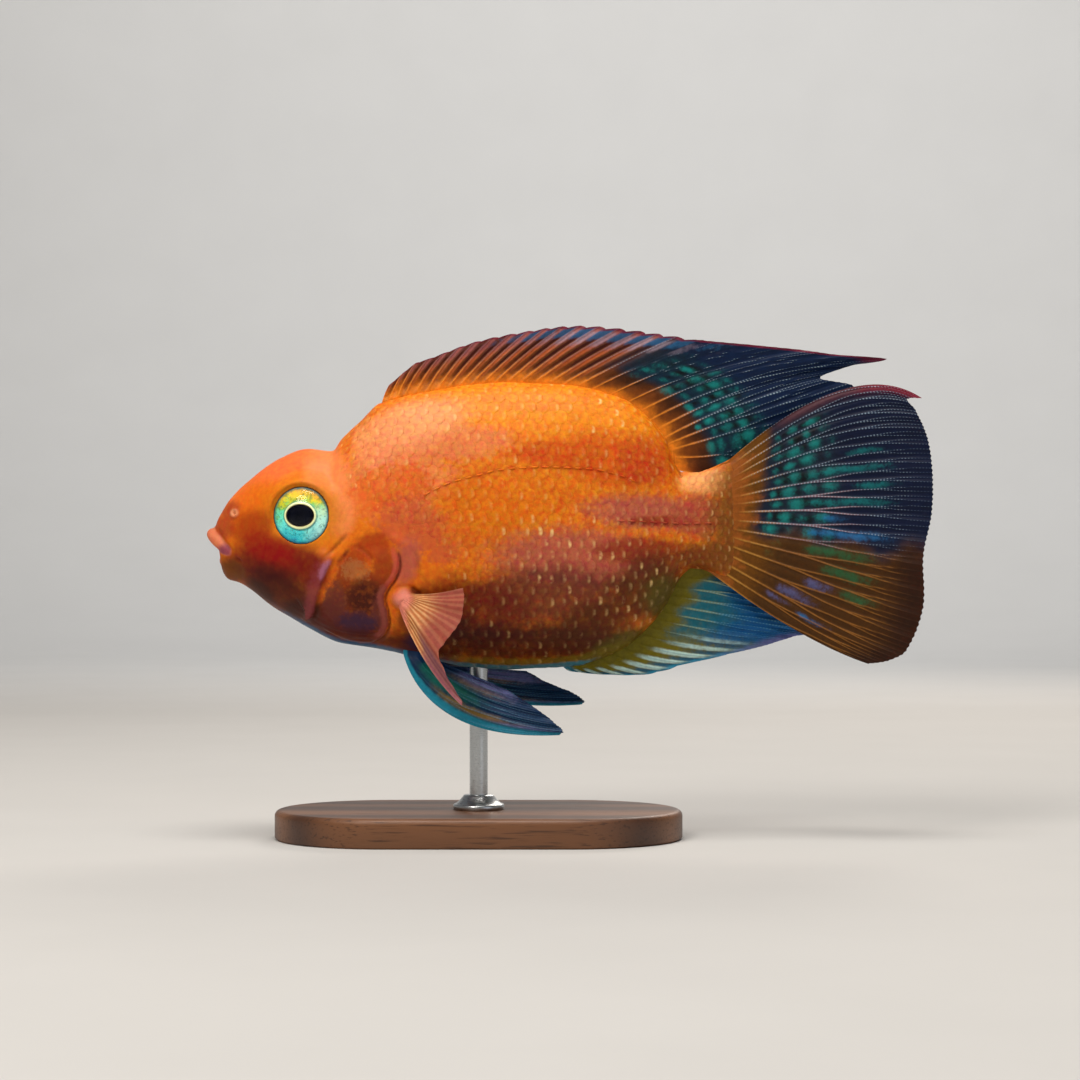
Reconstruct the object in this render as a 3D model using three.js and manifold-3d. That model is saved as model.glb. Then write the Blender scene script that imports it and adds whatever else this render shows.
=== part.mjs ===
// Blood parrot cichlid, an adult 200 mm over all, swimming, held by a plain display stand.
// Millimetres, +Z up. The origin is the centre of the underside of the stand's base, and the head points
// along -X. The fish's own frame starts at the tip of its upper lip: x runs to the tail, and z = 0 lies
// between the mouth and the eye.
import * as THREE from "three";
import { mergeVertices } from "three/addons/utils/BufferGeometryUtils.js";
import Module from "manifold-3d";

const wasm = await Module();
wasm.setup();

// Driving dimensions of the stand
const FISH_HEIGHT = 82; // fish's z = 0 above the underside of the base
const ROD_X = 75; // under the middle of the fish's weight
const ROD = { radius: 2.5, intoBelly: 4, around: 20 };
const BASE = { length: 112, width: 62, height: 8, bevel: 1.2, around: 12 };
const COLLAR = { radius: 7, footHeight: 1.2, shoulder: 4.2, height: 4, around: 24 };
const GAP = 0.3; // between pieces that touch
const PARTING_GAP = 0.36; // the gap measured along the fish where the body is parted aslant
const MERGE_DISTANCE = 1e-4;

// Driving dimensions of the body: [x, height or half width]
const BODY_START = 2.2;
const BODY_END = 146.5;
const BACK = [
  [2.2, 2.6], [3, 5.2], [4.4, 7.7], [6.6, 11], [12.1, 16.6], [20.4, 22.6], [28.1, 25.2], [34.9, 24.3],
  [37.4, 27.5], [42.4, 32.7], [47.9, 37.6], [58.9, 40.3], [72.6, 42.5], [83.6, 43.3], [100.1, 42.4],
  [113.9, 39.1], [119.4, 35.5], [123.5, 31.4], [126.2, 27.6], [128.4, 21.6], [130.6, 18.6], [135, 18.5],
  [139.2, 20], [146.5, 23.8],
];
const BELLY = [
  [2.2, -0.4], [3.4, -2.4], [4, -5], [4.6, -8.6], [6.3, -10.9], [8.8, -11.6], [12.1, -13.4], [17.6, -17.6],
  [28.6, -24.3], [36.9, -28.2], [47.9, -30], [58.9, -32.5], [72.6, -34.9], [83.6, -35.5], [102.9, -34.3],
  [113.9, -30.2], [119.4, -26], [123.5, -21.5], [127.1, -16.3], [130.4, -10], [133.7, -7.8], [137, -8.4],
  [146.5, -14],
];
const HALF_WIDTH = [
  [2.2, 1.6], [4, 4.6], [8, 7.1], [14, 10.1], [20, 12.3], [28, 14.3], [36, 15.9], [45, 17.4], [54, 18.4],
  [66, 18.7], [78, 18.3], [90, 17.2], [104, 14.9], [117, 12], [126, 8.8], [133, 6.4], [139, 4.9],
  [146.5, 1.3],
];
const TAIL_BEND = { start: 108, sideways: -2.6 }; // the stalk swings to the fish's left
const BACK_POWER = 2.1; // roundness of the section above its widest line
const BELLY_POWER = 2.35;
const WIDEST_SHARE = 0.48; // of the height from the belly to the back
const SECTION_STEP = 4.5; // between sections where the outline is level
const LAST_STEP = 0.4;
const SECTION_POINTS = 26;
const SLOPE_REACH = 0.2; // to either side, where the slope of the skin is measured

// Where the body is parted, in the side view
const FAR = 60; // above and below the whole fish
const BEYOND = 20; // ahead of the lips and behind the body
const BLOCK_REACH = 40; // to either side, wider than the body
const NAPE_TO_THROAT = [
  [34.9, FAR], [34.9, 24.3], [39.6, 16.5], [48.4, 4.1], [51.4, -4.1], [49.6, -13.8], [48.6, -19.3],
  [48.8, -27.5], [48.4, -FAR],
];
const STALK_START = 130;
const MOUTH = { front: -1, upper: -2.9, lower: -4.6, corner: [7.9, -4.75], jawFoot: [10.9, -13.6] };
const UNDER_JAW = 4; // how far the jaw's block reaches below its foot

// Head
const EYE = { x: 27.8, z: 6.6, out: 10.9, radius: 8.3, depth: 5.2, turn: 0.2, around: 16, rings: 8 };
const ORBIT = { radius: 9, thickness: 1.3, out: 13.1, sides: 5, around: 20 };
const NOSTRIL = { x: 8.4, z: 7.4, radius: 0.95, lift: 0.1, around: 8, rings: 6 };
const CHEEK_RIDGE = {
  path: [[35.4, -3], [32.2, -8.4], [30.2, -12.8], [28.8, -17], [27.4, -21]],
  radius: 1.7,
  depth: 1.02,
  endDepth: 1.36,
  steps: 10,
};
const ROLL_SIDES = 8;
const LIP_STEPS = { upper: 14, lower: 10 };
const UPPER_LIP = [
  { at: [7.2, 5, -3.8], radius: 0.75 },
  { at: [5.2, 4.6, -2.2], radius: 1.15 },
  { at: [3.3, 3.4, -0.3], radius: 1.5 },
  { at: [2.1, 1.8, 1.2], radius: 1.75 },
  { at: [1.8, 0, 1.7], radius: 1.8 },
];
const LOWER_LIP = [
  { at: [7.2, 4.8, -5.9], radius: 0.7 },
  { at: [5.6, 3.7, -5.8], radius: 1 },
  { at: [4.9, 0, -5.7], radius: 1.2 },
];
const GILL_COVER = {
  centre: [44, -12],
  rim: [
    [40.4, -2.6], [43.9, 1.3], [48.9, 1.8], [52.4, -1.1], [53.6, -6.2], [51.8, -11.9], [50.5, -16.1],
    [51.2, -22],
    [47.6, -25.8], [41.8, -26.2], [36.4, -24.2], [33.5, -20.1], [34.1, -14], [37, -7.8],
  ],
  thickness: 1.2,
  edge: 0.55,
  shares: [0.4, 0.78, 1], // of the way from the centre to the rim
  around: 28,
};

// Fins. A key ray is [ray number, root, bend, tip]; the rays between two key rays are drawn smoothly.
const DORSAL_FIN = {
  spines: 18,
  lastRay: 28,
  forks: true,
  keyRays: [
    [0, [48.4, 0, 37.7], [49, 0, 40.2], [50.3, 0, 42.6]],
    [2, [52.6, 0, 38.9], [54, 0, 43.4], [57.4, 0, 48.5]],
    [3, [54.7, 0, 39.3], [56.7, 0, 45.1], [61.1, 0, 49.8]],
    [6, [63.5, 0, 41], [67.7, 0, 48.1], [74, 0, 54.5]],
    [9, [72.6, 0, 42.4], [80, 0, 50.6], [88.6, 0, 57.5]],
    [12, [82.8, 0, 43.2], [92.1, 0, 52], [102.9, 0, 59]],
    [15, [94.1, 0, 42.9], [105.6, 0, 50.9], [119.4, 0, 57.5]],
    [18, [106.2, 0, 41.5], [122.1, 0, 49.7], [136.7, 0, 55]],
    [20, [116.1, 0, 38], [137.3, 1, 48.6], [163.5, 2, 52.5]],
    [21, [119.4, 0, 35.5], [145.5, 1, 49.2], [173.2, 2.5, 51.2]],
    [22, [122.1, 0, 33], [149.7, 1.5, 48.5], [187.7, 3.5, 50]],
    [23, [124.3, 0, 30.5], [150, 1.5, 45], [177.5, 3.5, 47.9]],
    [24, [126, 0, 28.1], [149.3, 1, 40.4], [169.3, 3, 44.8]],
    [26, [128.2, 0, 24.9], [152.5, 1, 31.5], [179, 3, 41.2]],
    [27, [129, 0, 22.8], [146, 0.8, 22], [165.5, 2.5, 31.5]],
    [28, [129.8, 0, 19.8], [138, 0.3, 17.6], [149, 1.5, 20.5]],
  ],
  sink: [0, 0, -3],
  steps: 5,
};
const CAUDAL_FIN = {
  spines: 0,
  lastRay: 16,
  forks: true,
  keyRays: [
    [0, [143.2, -2.3, 21.4], [176.9, -7, 51.3], [195.4, -12, 38.5]],
    [1, [143.7, -2.4, 19.8], [175, -7, 44.7], [191.3, -12, 38.2]],
    [2, [144.2, -2.4, 18.1], [173.7, -7, 39.5], [193.7, -12, 35.2]],
    [4, [144.2, -2.4, 14.8], [170.9, -7, 29.4], [197, -12, 27.6]],
    [6, [144, -2.4, 11.2], [170.9, -7, 18.5], [198.4, -12, 17.6]],
    [8, [143.7, -2.4, 7.4], [170.9, -7, 9], [198.1, -12, 7]],
    [10, [142.6, -2.3, 3.3], [170.9, -7, -1.4], [195.9, -12, -4.3]],
    [12, [141.2, -2.2, -0.5], [168.2, -7, -10.9], [195.8, -12, -18.3]],
    [14, [139.6, -2.1, -4.4], [166.8, -7, -21.3], [191.3, -11, -30.1]],
    [15, [138.5, -2, -6.3], [164.9, -7, -24.5], [186.3, -11, -32.8]],
    [16, [137.4, -2, -8], [162.2, -7, -27.3], [181, -10, -33.7]],
  ],
  sink: [-4, 0, 0],
  steps: 6,
};
const ANAL_FIN = {
  spines: 8,
  lastRay: 16,
  forks: true,
  keyRays: [
    [0, [98.2, 0, -34.7], [99, 0, -36], [100.9, 0, -36.2]],
    [2, [102.9, 0, -34.4], [105.1, 0, -36.3], [109.2, 0, -37]],
    [4, [108.9, 0, -33], [113.9, 0, -36], [121.6, 0, -36.9]],
    [6, [114.4, 0, -29.7], [122.7, 0, -33.8], [133.7, 0, -33.7]],
    [8, [119.4, 0, -25.9], [133.7, 1, -30.3], [148.1, 2, -30.6]],
    [10, [123.2, 0, -21.7], [140.6, 1, -25.9], [160, 3, -27.3]],
    [12, [126, 0, -17.6], [147.5, 1, -21.5], [166.9, 3, -24.6]],
    [14, [128.8, 0, -13], [144.7, 1, -14.6], [160.5, 3, -18.5]],
    [16, [131, 0, -9.6], [139, 0.5, -9.8], [150, 1.8, -13.6]],
  ],
  sink: [-1, 0, 3],
  steps: 5,
};
const PELVIC_FIN_LEFT = {
  spines: 0,
  lastRay: 5,
  forks: true,
  keyRays: [
    [0, [54.7, -5, -31.2], [63, -11, -53.5], [97.2, -17, -52.3]],
    [1, [56.3, -5.5, -31.7], [64.8, -12, -49.3], [98.3, -18, -51.4]],
    [2, [58.3, -6, -32.2], [68, -12, -45.5], [96.2, -18, -49.5]],
    [3, [60.2, -6, -32.8], [70.7, -11, -42.1], [92.1, -17, -46.3]],
    [4, [62.1, -6, -33.3], [72.8, -10, -38.6], [87, -15, -42.9]],
    [5, [64, -6, -33.6], [73, -9, -36.6], [80.5, -13, -39]],
  ],
  sink: [0, 0.6, 4],
  steps: 5,
};
const PELVIC_FIN_RIGHT = {
  spines: 0,
  lastRay: 5,
  forks: true,
  keyRays: [
    [0, [54.2, 5, -31.5], [66.8, 9, -47.8], [102.5, 13, -46.2]],
    [1, [55.9, 5.5, -32.1], [69.6, 10, -45.9], [104.4, 14, -45.3]],
    [2, [57.8, 6, -32.7], [72.4, 10, -43.4], [102.2, 14, -43.3]],
    [3, [59.7, 6, -33.2], [74.6, 10, -40.6], [97.7, 13, -41.3]],
    [4, [61.7, 6, -33.8], [75.7, 9, -38.4], [93, 12, -39.2]],
    [5, [63.6, 6, -34.1], [75.2, 8, -35.5], [88, 10, -36.2]],
  ],
  sink: [0, -0.6, 4],
  steps: 5,
};
const PECTORAL_FIN = {
  spines: 0,
  lastRay: 13,
  forks: false,
  keyRays: [
    [0, [55, -17, -14.3], [61, -20, -15.6], [71.3, -24, -12.8]],
    [3, [55.3, -17.4, -15.1], [62.7, -22, -17.1], [71.6, -27, -17.6]],
    [6, [55.3, -17.6, -15.9], [62.4, -23, -19.2], [69.6, -30, -23.6]],
    [8, [55, -17.6, -16.4], [60.9, -24, -21.4], [66.2, -32, -27.5]],
    [9, [54.9, -17.6, -16.8], [59.6, -25, -22.9], [64.9, -33, -29.8]],
    [10, [54.8, -17.6, -17.1], [59.9, -25.5, -25.1], [66.6, -35, -33.7]],
    [11, [54.6, -17.6, -17.4], [60.2, -26, -28], [69, -38, -38.6]],
    [12, [54.4, -17.5, -17.7], [60.7, -27, -31.4], [71.2, -41, -42.1]],
    [13, [54.1, -17.4, -18], [60.5, -28, -34.3], [71.5, -42, -43.3]],
  ],
  sink: [0, 3, 0],
  steps: 6,
};
const PECTORAL_LOBE = { at: [54.4, -17.2, -16.1], radii: [2.7, 2.2, 2.6], around: 12, rings: 8 };
const RIGHT_PECTORAL_SWING = 0.2; // the right one lies closer to the body

const MEMBRANE = 0.27; // half thickness between the rays
const RAY_RIDGE = 0.42; // how far a ray stands out of each face
const FORKED_RIDGE = 0.3;
const SPINE_TAPER = 0.5;
const RAY_TAPER = 0.6;
const FORK = { start: 0.35, end: 0.6 }; // share of the ray where it parts in two
const RIDGE_START = 0.2; // share of the ray over which its ridge rises
const ROOT_SHARE = 0.35; // share of the ray that is fleshy
const ROOT_HALF_THICKNESS = 0.75;

// Columns of points across a fin, by their place beside a ray. A spine is a crest between two flanks, a
// simple ray a crest and a valley, and a forking ray one crest near its root and two beyond its fork.
const SPINE = [
  { beside: -0.24, reach: 0.97, ridge: () => 0 },
  { beside: 0, reach: 1, ridge: (along) => RAY_RIDGE * (1 - SPINE_TAPER * along) },
  { beside: 0.24, reach: 0.97, ridge: () => 0 },
];
const SIMPLE_RAY = [
  { beside: -0.5, reach: 0.99, ridge: () => 0 },
  { beside: 0, reach: 1, ridge: (along) => RAY_RIDGE * (1 - RAY_TAPER * along) },
];
const FORKING_RAY = [
  { beside: -0.5, reach: 0.99, ridge: () => 0 },
  { beside: -0.2, reach: 1, ridge: (along) => FORKED_RIDGE * forked(along) },
  { beside: 0, reach: 0.995, ridge: (along) => RAY_RIDGE * (1 - forked(along)) },
  { beside: 0.2, reach: 1, ridge: (along) => FORKED_RIDGE * forked(along) },
];

// A smooth function through [x, value] points, which never swings past them
function profile(points) {
  const xs = points.map((p) => p[0]);
  const slopes = points.slice(1).map((p, i) => (p[1] - points[i][1]) / (xs[i + 1] - xs[i]));
  const tangents = points.map((p, i) => {
    if (i === 0 || i === points.length - 1) return slopes[Math.min(i, slopes.length - 1)];
    const [before, after] = [slopes[i - 1], slopes[i]];
    return before * after <= 0 ? 0 : (2 * before * after) / (before + after);
  });
  return (x) => hermite(xs, points.map((p) => p[1]), tangents, x);
}

// A smooth function through [x, value] points that passes freely round them
function smoothThrough(xs, values) {
  const last = xs.length - 1;
  const tangents = values.map((v, i) => {
    const [from, to] = [Math.max(i - 1, 0), Math.min(i + 1, last)];
    return (values[to] - values[from]) / (xs[to] - xs[from]);
  });
  return (x) => hermite(xs, values, tangents, x);
}

function hermite(xs, values, tangents, x) {
  let i = 0;
  while (i < xs.length - 2 && x > xs[i + 1]) i++;
  const span = xs[i + 1] - xs[i];
  const t = THREE.MathUtils.clamp((x - xs[i]) / span, 0, 1);
  const rise = values[i + 1] - values[i];
  const swing = (1 - t) * (tangents[i] * span - rise) - t * (tangents[i + 1] * span - rise);
  return values[i] + rise * t + t * (1 - t) * swing;
}

// Solids
function solidFrom(geometry) {
  const bare = new THREE.BufferGeometry().setAttribute("position", geometry.getAttribute("position"));
  bare.setIndex(geometry.index);
  const merged = mergeVertices(bare, MERGE_DISTANCE);
  const mesh = new wasm.Mesh({
    numProp: 3,
    vertProperties: new Float32Array(merged.attributes.position.array),
    triVerts: new Uint32Array(merged.index.array),
  });
  return new wasm.Manifold(mesh);
}

function geometryFrom(solid) {
  const mesh = solid.getMesh();
  const geometry = new THREE.BufferGeometry();
  geometry.setAttribute("position", new THREE.BufferAttribute(mesh.vertProperties, 3));
  geometry.setIndex(new THREE.BufferAttribute(mesh.triVerts, 1));
  return geometry;
}

function largest(solid) {
  const pieces = solid.decompose();
  return pieces.reduce((best, piece) => (piece.volume() > best.volume() ? piece : best));
}

// Closed mesh of rings laid one after another, with a fan over each end
function loft(rings) {
  const count = rings[0].length;
  const points = rings.flat();
  const faces = [];
  for (let r = 0; r < rings.length - 1; r++) {
    for (let k = 0; k < count; k++) {
      const [a, b] = [r * count + k, r * count + ((k + 1) % count)];
      faces.push(a, b, a + count, b, b + count, a + count);
    }
  }
  const lastRing = (rings.length - 1) * count;
  const [firstCentre, lastCentre] = [points.length, points.length + 1];
  points.push(middleOf(rings[0]), middleOf(rings[rings.length - 1]));
  for (let k = 0; k < count; k++) {
    const next = (k + 1) % count;
    faces.push(firstCentre, next, k);
    faces.push(lastCentre, lastRing + k, lastRing + next);
  }
  return meshFrom(points, faces);
}

function middleOf(ring) {
  const sum = ring.reduce((total, p) => total.add(p), new THREE.Vector3());
  return sum.divideScalar(ring.length);
}

function meshFrom(points, faces) {
  const geometry = new THREE.BufferGeometry().setFromPoints(points);
  geometry.setIndex(faces);
  return geometry;
}

// Body
const back = profile(BACK);
const belly = profile(BELLY);
const halfWidth = profile(HALF_WIDTH);

function midline(x) {
  const along = Math.max(0, x - TAIL_BEND.start) / (BODY_END - TAIL_BEND.start);
  return TAIL_BEND.sideways * along * along;
}

function widestHeight(x) {
  return THREE.MathUtils.lerp(belly(x), back(x), WIDEST_SHARE);
}

// Distance of the skin from the midline at a place in the side view
function sideways(x, z) {
  const mid = widestHeight(x);
  const above = z > mid;
  const reach = above ? back(x) - mid : mid - belly(x);
  const share = Math.min(1, Math.abs(z - mid) / reach);
  return halfWidth(x) * Math.sqrt(1 - share ** (above ? BACK_POWER : BELLY_POWER));
}

function section(x) {
  const mid = widestHeight(x);
  const ring = [];
  for (let k = 0; k < SECTION_POINTS; k++) {
    const angle = (2 * Math.PI * k) / SECTION_POINTS;
    const [cos, sin] = [Math.cos(angle), Math.sin(angle)];
    const [reach, power] = sin > 0 ? [back(x) - mid, BACK_POWER] : [mid - belly(x), BELLY_POWER];
    const z = mid + Math.sign(sin) * reach * Math.abs(sin) ** (2 / power);
    ring.push(new THREE.Vector3(x, midline(x) + halfWidth(x) * cos, z));
  }
  return ring;
}

// Stations stand closer where the outline is steep
function bodyGeometry() {
  const rings = [];
  let x = BODY_START;
  while (x < BODY_END - LAST_STEP) {
    rings.push(section(x));
    const ahead = x + SLOPE_REACH;
    const slope = (Math.abs(back(ahead) - back(x)) + Math.abs(belly(ahead) - belly(x))) / SLOPE_REACH;
    x += SECTION_STEP / Math.hypot(1, slope / 2);
  }
  rings.push(section(BODY_END));
  return loft(rings);
}

// The body grown by the gap, which every piece that touches it is cut with
function grown(geometry, by) {
  const merged = mergeVertices(new THREE.BufferGeometry().copy(geometry), MERGE_DISTANCE);
  merged.computeVertexNormals();
  const { position, normal } = merged.attributes;
  for (let i = 0; i < position.count; i++) {
    position.setXYZ(
      i,
      position.getX(i) + normal.getX(i) * by,
      position.getY(i) + normal.getY(i) * by,
      position.getZ(i) + normal.getZ(i) * by,
    );
  }
  return merged;
}

// A block with the given outline in the side view, as wide as the fish
function block(outline) {
  const shape = new THREE.Shape(outline.map(([x, z]) => new THREE.Vector2(x, z)));
  const geometry = new THREE.ExtrudeGeometry(shape, { depth: 2 * BLOCK_REACH, bevelEnabled: false });
  return solidFrom(geometry.rotateX(Math.PI / 2).translate(0, BLOCK_REACH, 0));
}

// A point on the skin or lifted from it, on the left (-1) or right (1) side
function onSkin(x, z, side, lift = 0) {
  const [before, after] = [x - SLOPE_REACH, x + SLOPE_REACH];
  const [under, over] = [z - SLOPE_REACH, z + SLOPE_REACH];
  const alongX = (sideways(after, z) - sideways(before, z)) / (after - before);
  const alongZ = (sideways(x, over) - sideways(x, under)) / (over - under);
  const normal = new THREE.Vector3(-alongX, 1, -alongZ).normalize().multiplyScalar(lift);
  return new THREE.Vector3(x + normal.x, midline(x) + side * (sideways(x, z) + normal.y), z + normal.z);
}

// A roll of flesh along a path, its radius given at each point of the path
function roll(places, steps) {
  const path = new THREE.CatmullRomCurve3(places.map((p) => new THREE.Vector3(...p.at)));
  const radius = smoothThrough(places.map((p, i) => i / (places.length - 1)), places.map((p) => p.radius));
  const frames = path.computeFrenetFrames(steps);
  const rings = [];
  for (let i = 0; i <= steps; i++) {
    const centre = path.getPoint(i / steps);
    rings.push(ringAround(centre, frames.normals[i], frames.binormals[i], radius(i / steps)));
  }
  return solidFrom(loft(rings));
}

function ringAround(centre, normal, binormal, radius) {
  const ring = [];
  for (let k = 0; k < ROLL_SIDES; k++) {
    const angle = (2 * Math.PI * k) / ROLL_SIDES;
    const out = normal.clone().multiplyScalar(Math.cos(angle) * radius);
    out.addScaledVector(binormal, Math.sin(angle) * radius);
    ring.push(out.add(centre));
  }
  return ring;
}

function bothSides(places) {
  const mirrored = places.slice(0, -1).map((p) => ({ ...p, at: [p.at[0], -p.at[1], p.at[2]] }));
  return [...places, ...mirrored.reverse()];
}

function fatter(places, by) {
  return places.map((p) => ({ ...p, radius: p.radius + by }));
}

// Eyes
function eyeball(side, by = 0) {
  const { x, z, out, radius, depth, turn } = EYE;
  const geometry = new THREE.SphereGeometry(1, EYE.around, EYE.rings).rotateX(Math.PI / 2);
  geometry.scale(radius + by, depth + by, radius + by);
  return geometry.rotateZ(side * turn).translate(x, side * out, z);
}

function orbit(side) {
  const { radius, thickness, out, sides, around } = ORBIT;
  const ring = new THREE.TorusGeometry(radius, thickness, sides, around).rotateX(Math.PI / 2);
  return solidFrom(ring.rotateZ(side * EYE.turn).translate(EYE.x, side * out, EYE.z));
}

function nostril(side) {
  const at = onSkin(NOSTRIL.x, NOSTRIL.z, side, NOSTRIL.lift);
  const pit = new THREE.SphereGeometry(NOSTRIL.radius, NOSTRIL.around, NOSTRIL.rings);
  return solidFrom(pit.translate(at.x, at.y, at.z));
}

function cheekRidge(side) {
  const { path, radius, depth, endDepth, steps } = CHEEK_RIDGE;
  const places = path.map(([x, z], i) => {
    const atEnd = i === 0 || i === path.length - 1;
    return { at: onSkin(x, z, side, atEnd ? -endDepth : -depth).toArray(), radius };
  });
  return roll(places, steps);
}

// Gill covers
function gillCover(side) {
  const { centre, rim, thickness, edge, shares, around } = GILL_COVER;
  const outline = new THREE.CatmullRomCurve3(rim.map(([x, z]) => new THREE.Vector3(x, 0, z)), true);
  const liftAt = (share) => GAP + THREE.MathUtils.lerp(thickness, edge, share ** 3);
  const points = [onSkin(...centre, side, liftAt(0)), onSkin(...centre, side, GAP)];
  const faces = [];
  for (const share of shares) {
    for (let k = 0; k < around; k++) {
      const at = outline.getPoint(k / around);
      const x = THREE.MathUtils.lerp(centre[0], at.x, share);
      const z = THREE.MathUtils.lerp(centre[1], at.z, share);
      points.push(onSkin(x, z, side, liftAt(share)), onSkin(x, z, side, GAP));
    }
  }
  const index = (ring, k, inner) => (ring < 0 ? inner : 2 + 2 * (ring * around + (k % around)) + inner);
  const quad = (a, b, c, d) => faces.push(a, b, c, a, c, d);
  for (let k = 0; k < around; k++) {
    faces.push(0, index(0, k, 0), index(0, k + 1, 0));
    faces.push(1, index(0, k + 1, 1), index(0, k, 1));
    for (let ring = 0; ring < shares.length - 1; ring++) {
      quad(index(ring, k, 0), index(ring + 1, k, 0), index(ring + 1, k + 1, 0), index(ring, k + 1, 0));
      quad(index(ring, k + 1, 1), index(ring + 1, k + 1, 1), index(ring + 1, k, 1), index(ring, k, 1));
    }
    const last = shares.length - 1;
    quad(index(last, k, 0), index(last, k, 1), index(last, k + 1, 1), index(last, k + 1, 0));
  }
  const geometry = meshFrom(points, faces);
  return outward(geometry);
}

// A closed mesh whose faces point out, whichever way they were wound
function outward(geometry) {
  const solid = solidFrom(geometry);
  if (solid.volume() > 0) return solid;
  const index = geometry.index.array;
  for (let i = 0; i < index.length; i += 3) [index[i + 1], index[i + 2]] = [index[i + 2], index[i + 1]];
  return solidFrom(geometry);
}

// Fins
function forked(along) {
  return THREE.MathUtils.smoothstep(along, FORK.start, FORK.end);
}

function finColumns(fin) {
  const columns = [];
  for (let number = 0; number <= fin.lastRay; number++) {
    const kind = number < fin.spines ? SPINE : fin.forks ? FORKING_RAY : SIMPLE_RAY;
    for (const column of kind) columns.push({ ...column, ray: number + column.beside });
  }
  return columns.filter((column) => column.ray >= 0 && column.ray <= fin.lastRay);
}

function halfThickness(column, along) {
  const fleshy = 1 - THREE.MathUtils.smoothstep(along, 0, ROOT_SHARE);
  const sheet = THREE.MathUtils.lerp(MEMBRANE, ROOT_HALF_THICKNESS, fleshy);
  return sheet + column.ridge(along) * Math.min(1, along / RIDGE_START);
}

// One closed sheet through all the rays of a fin, both faces split into triangles alike
function finSolid(fin) {
  const numbers = fin.keyRays.map((key) => key[0]);
  const track = (which) =>
    [0, 1, 2].map((axis) => smoothThrough(numbers, fin.keyRays.map((key) => key[which][axis])));
  const [root, bend, tip] = [track(1), track(2), track(3)];
  const at = (curves, ray) => new THREE.Vector3(...curves.map((curve) => curve(ray)));
  const columns = finColumns(fin);
  const rows = columns.map(({ ray, reach }) => {
    const curve = new THREE.QuadraticBezierCurve3(at(root, ray), at(bend, ray), at(tip, ray));
    const points = [curve.getPoint(0).add(new THREE.Vector3(...fin.sink))];
    for (let step = 0; step <= fin.steps; step++) points.push(curve.getPoint((step / fin.steps) * reach));
    return points;
  });
  return sheetSolid(rows, (c, r) => halfThickness(columns[c], Math.max(0, r - 1) / fin.steps));
}

function sheetSolid(rows, half) {
  const [wide, long] = [rows.length, rows[0].length];
  const within = (value, count) => THREE.MathUtils.clamp(value, 0, count - 1);
  const pointAt = (c, r) => rows[within(c, wide)][within(r, long)];
  const points = [];
  for (let c = 0; c < wide; c++) {
    for (let r = 0; r < long; r++) {
      const across = pointAt(c + 1, r).clone().sub(pointAt(c - 1, r));
      const along = pointAt(c, r + 1).clone().sub(pointAt(c, r - 1));
      const normal = along.cross(across).normalize().multiplyScalar(half(c, r));
      points.push(pointAt(c, r).clone().add(normal), pointAt(c, r).clone().sub(normal));
    }
  }
  const index = (c, r, face) => 2 * (c * long + r) + face;
  const faces = [];
  for (let c = 0; c < wide - 1; c++) {
    for (let r = 0; r < long - 1; r++) {
      const [a, b, d, e] = [index(c, r, 0), index(c + 1, r, 0), index(c, r + 1, 0), index(c + 1, r + 1, 0)];
      faces.push(a, d, b, b, d, e);
      faces.push(a + 1, b + 1, d + 1, b + 1, e + 1, d + 1);
    }
  }
  const border = [];
  for (let c = 0; c < wide - 1; c++) border.push([c, 0]);
  for (let r = 0; r < long - 1; r++) border.push([wide - 1, r]);
  for (let c = wide - 1; c > 0; c--) border.push([c, long - 1]);
  for (let r = long - 1; r > 0; r--) border.push([0, r]);
  border.forEach(([c, r], i) => {
    const [nextC, nextR] = border[(i + 1) % border.length];
    const [a, b] = [index(c, r, 0), index(nextC, nextR, 0)];
    faces.push(a, b, a + 1, b, b + 1, a + 1);
  });
  return outward(meshFrom(points, faces));
}

function pectoralFin() {
  const { at, radii, around, rings } = PECTORAL_LOBE;
  const lobe = new THREE.SphereGeometry(1, around, rings).scale(...radii).translate(...at);
  return finSolid(PECTORAL_FIN).add(solidFrom(lobe));
}

// Stand
function standBase() {
  const { length, width, height, bevel, around } = BASE;
  const radius = width / 2 - bevel;
  const straight = length / 2 - width / 2;
  const shape = new THREE.Shape();
  shape.absarc(straight, 0, radius, -Math.PI / 2, Math.PI / 2);
  shape.absarc(-straight, 0, radius, Math.PI / 2, (3 * Math.PI) / 2);
  const geometry = new THREE.ExtrudeGeometry(shape, {
    depth: height - 2 * bevel,
    bevelThickness: bevel,
    bevelSize: bevel,
    bevelSegments: 1,
    curveSegments: around,
  });
  return geometry.translate(0, 0, bevel);
}

function standCollar() {
  const { radius, footHeight, shoulder, height, around } = COLLAR;
  const outline = [[0, 0], [radius, 0], [radius, footHeight], [shoulder, height], [0, height]];
  const geometry = new THREE.LatheGeometry(outline.map(([r, z]) => new THREE.Vector2(r, z)), around);
  return geometry.rotateX(Math.PI / 2).translate(0, 0, BASE.height + GAP);
}

// Rod in the fish's frame, cut to the curve of the belly
function standRod() {
  const foot = BASE.height + COLLAR.height + 2 * GAP - FISH_HEIGHT;
  const top = belly(ROD_X) + ROD.intoBelly;
  const geometry = new THREE.CylinderGeometry(ROD.radius, ROD.radius, top - foot, ROD.around);
  geometry.rotateX(Math.PI / 2).translate(ROD_X, 0, (top + foot) / 2);
  return solidFrom(geometry).subtract(bodyGrown);
}

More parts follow.
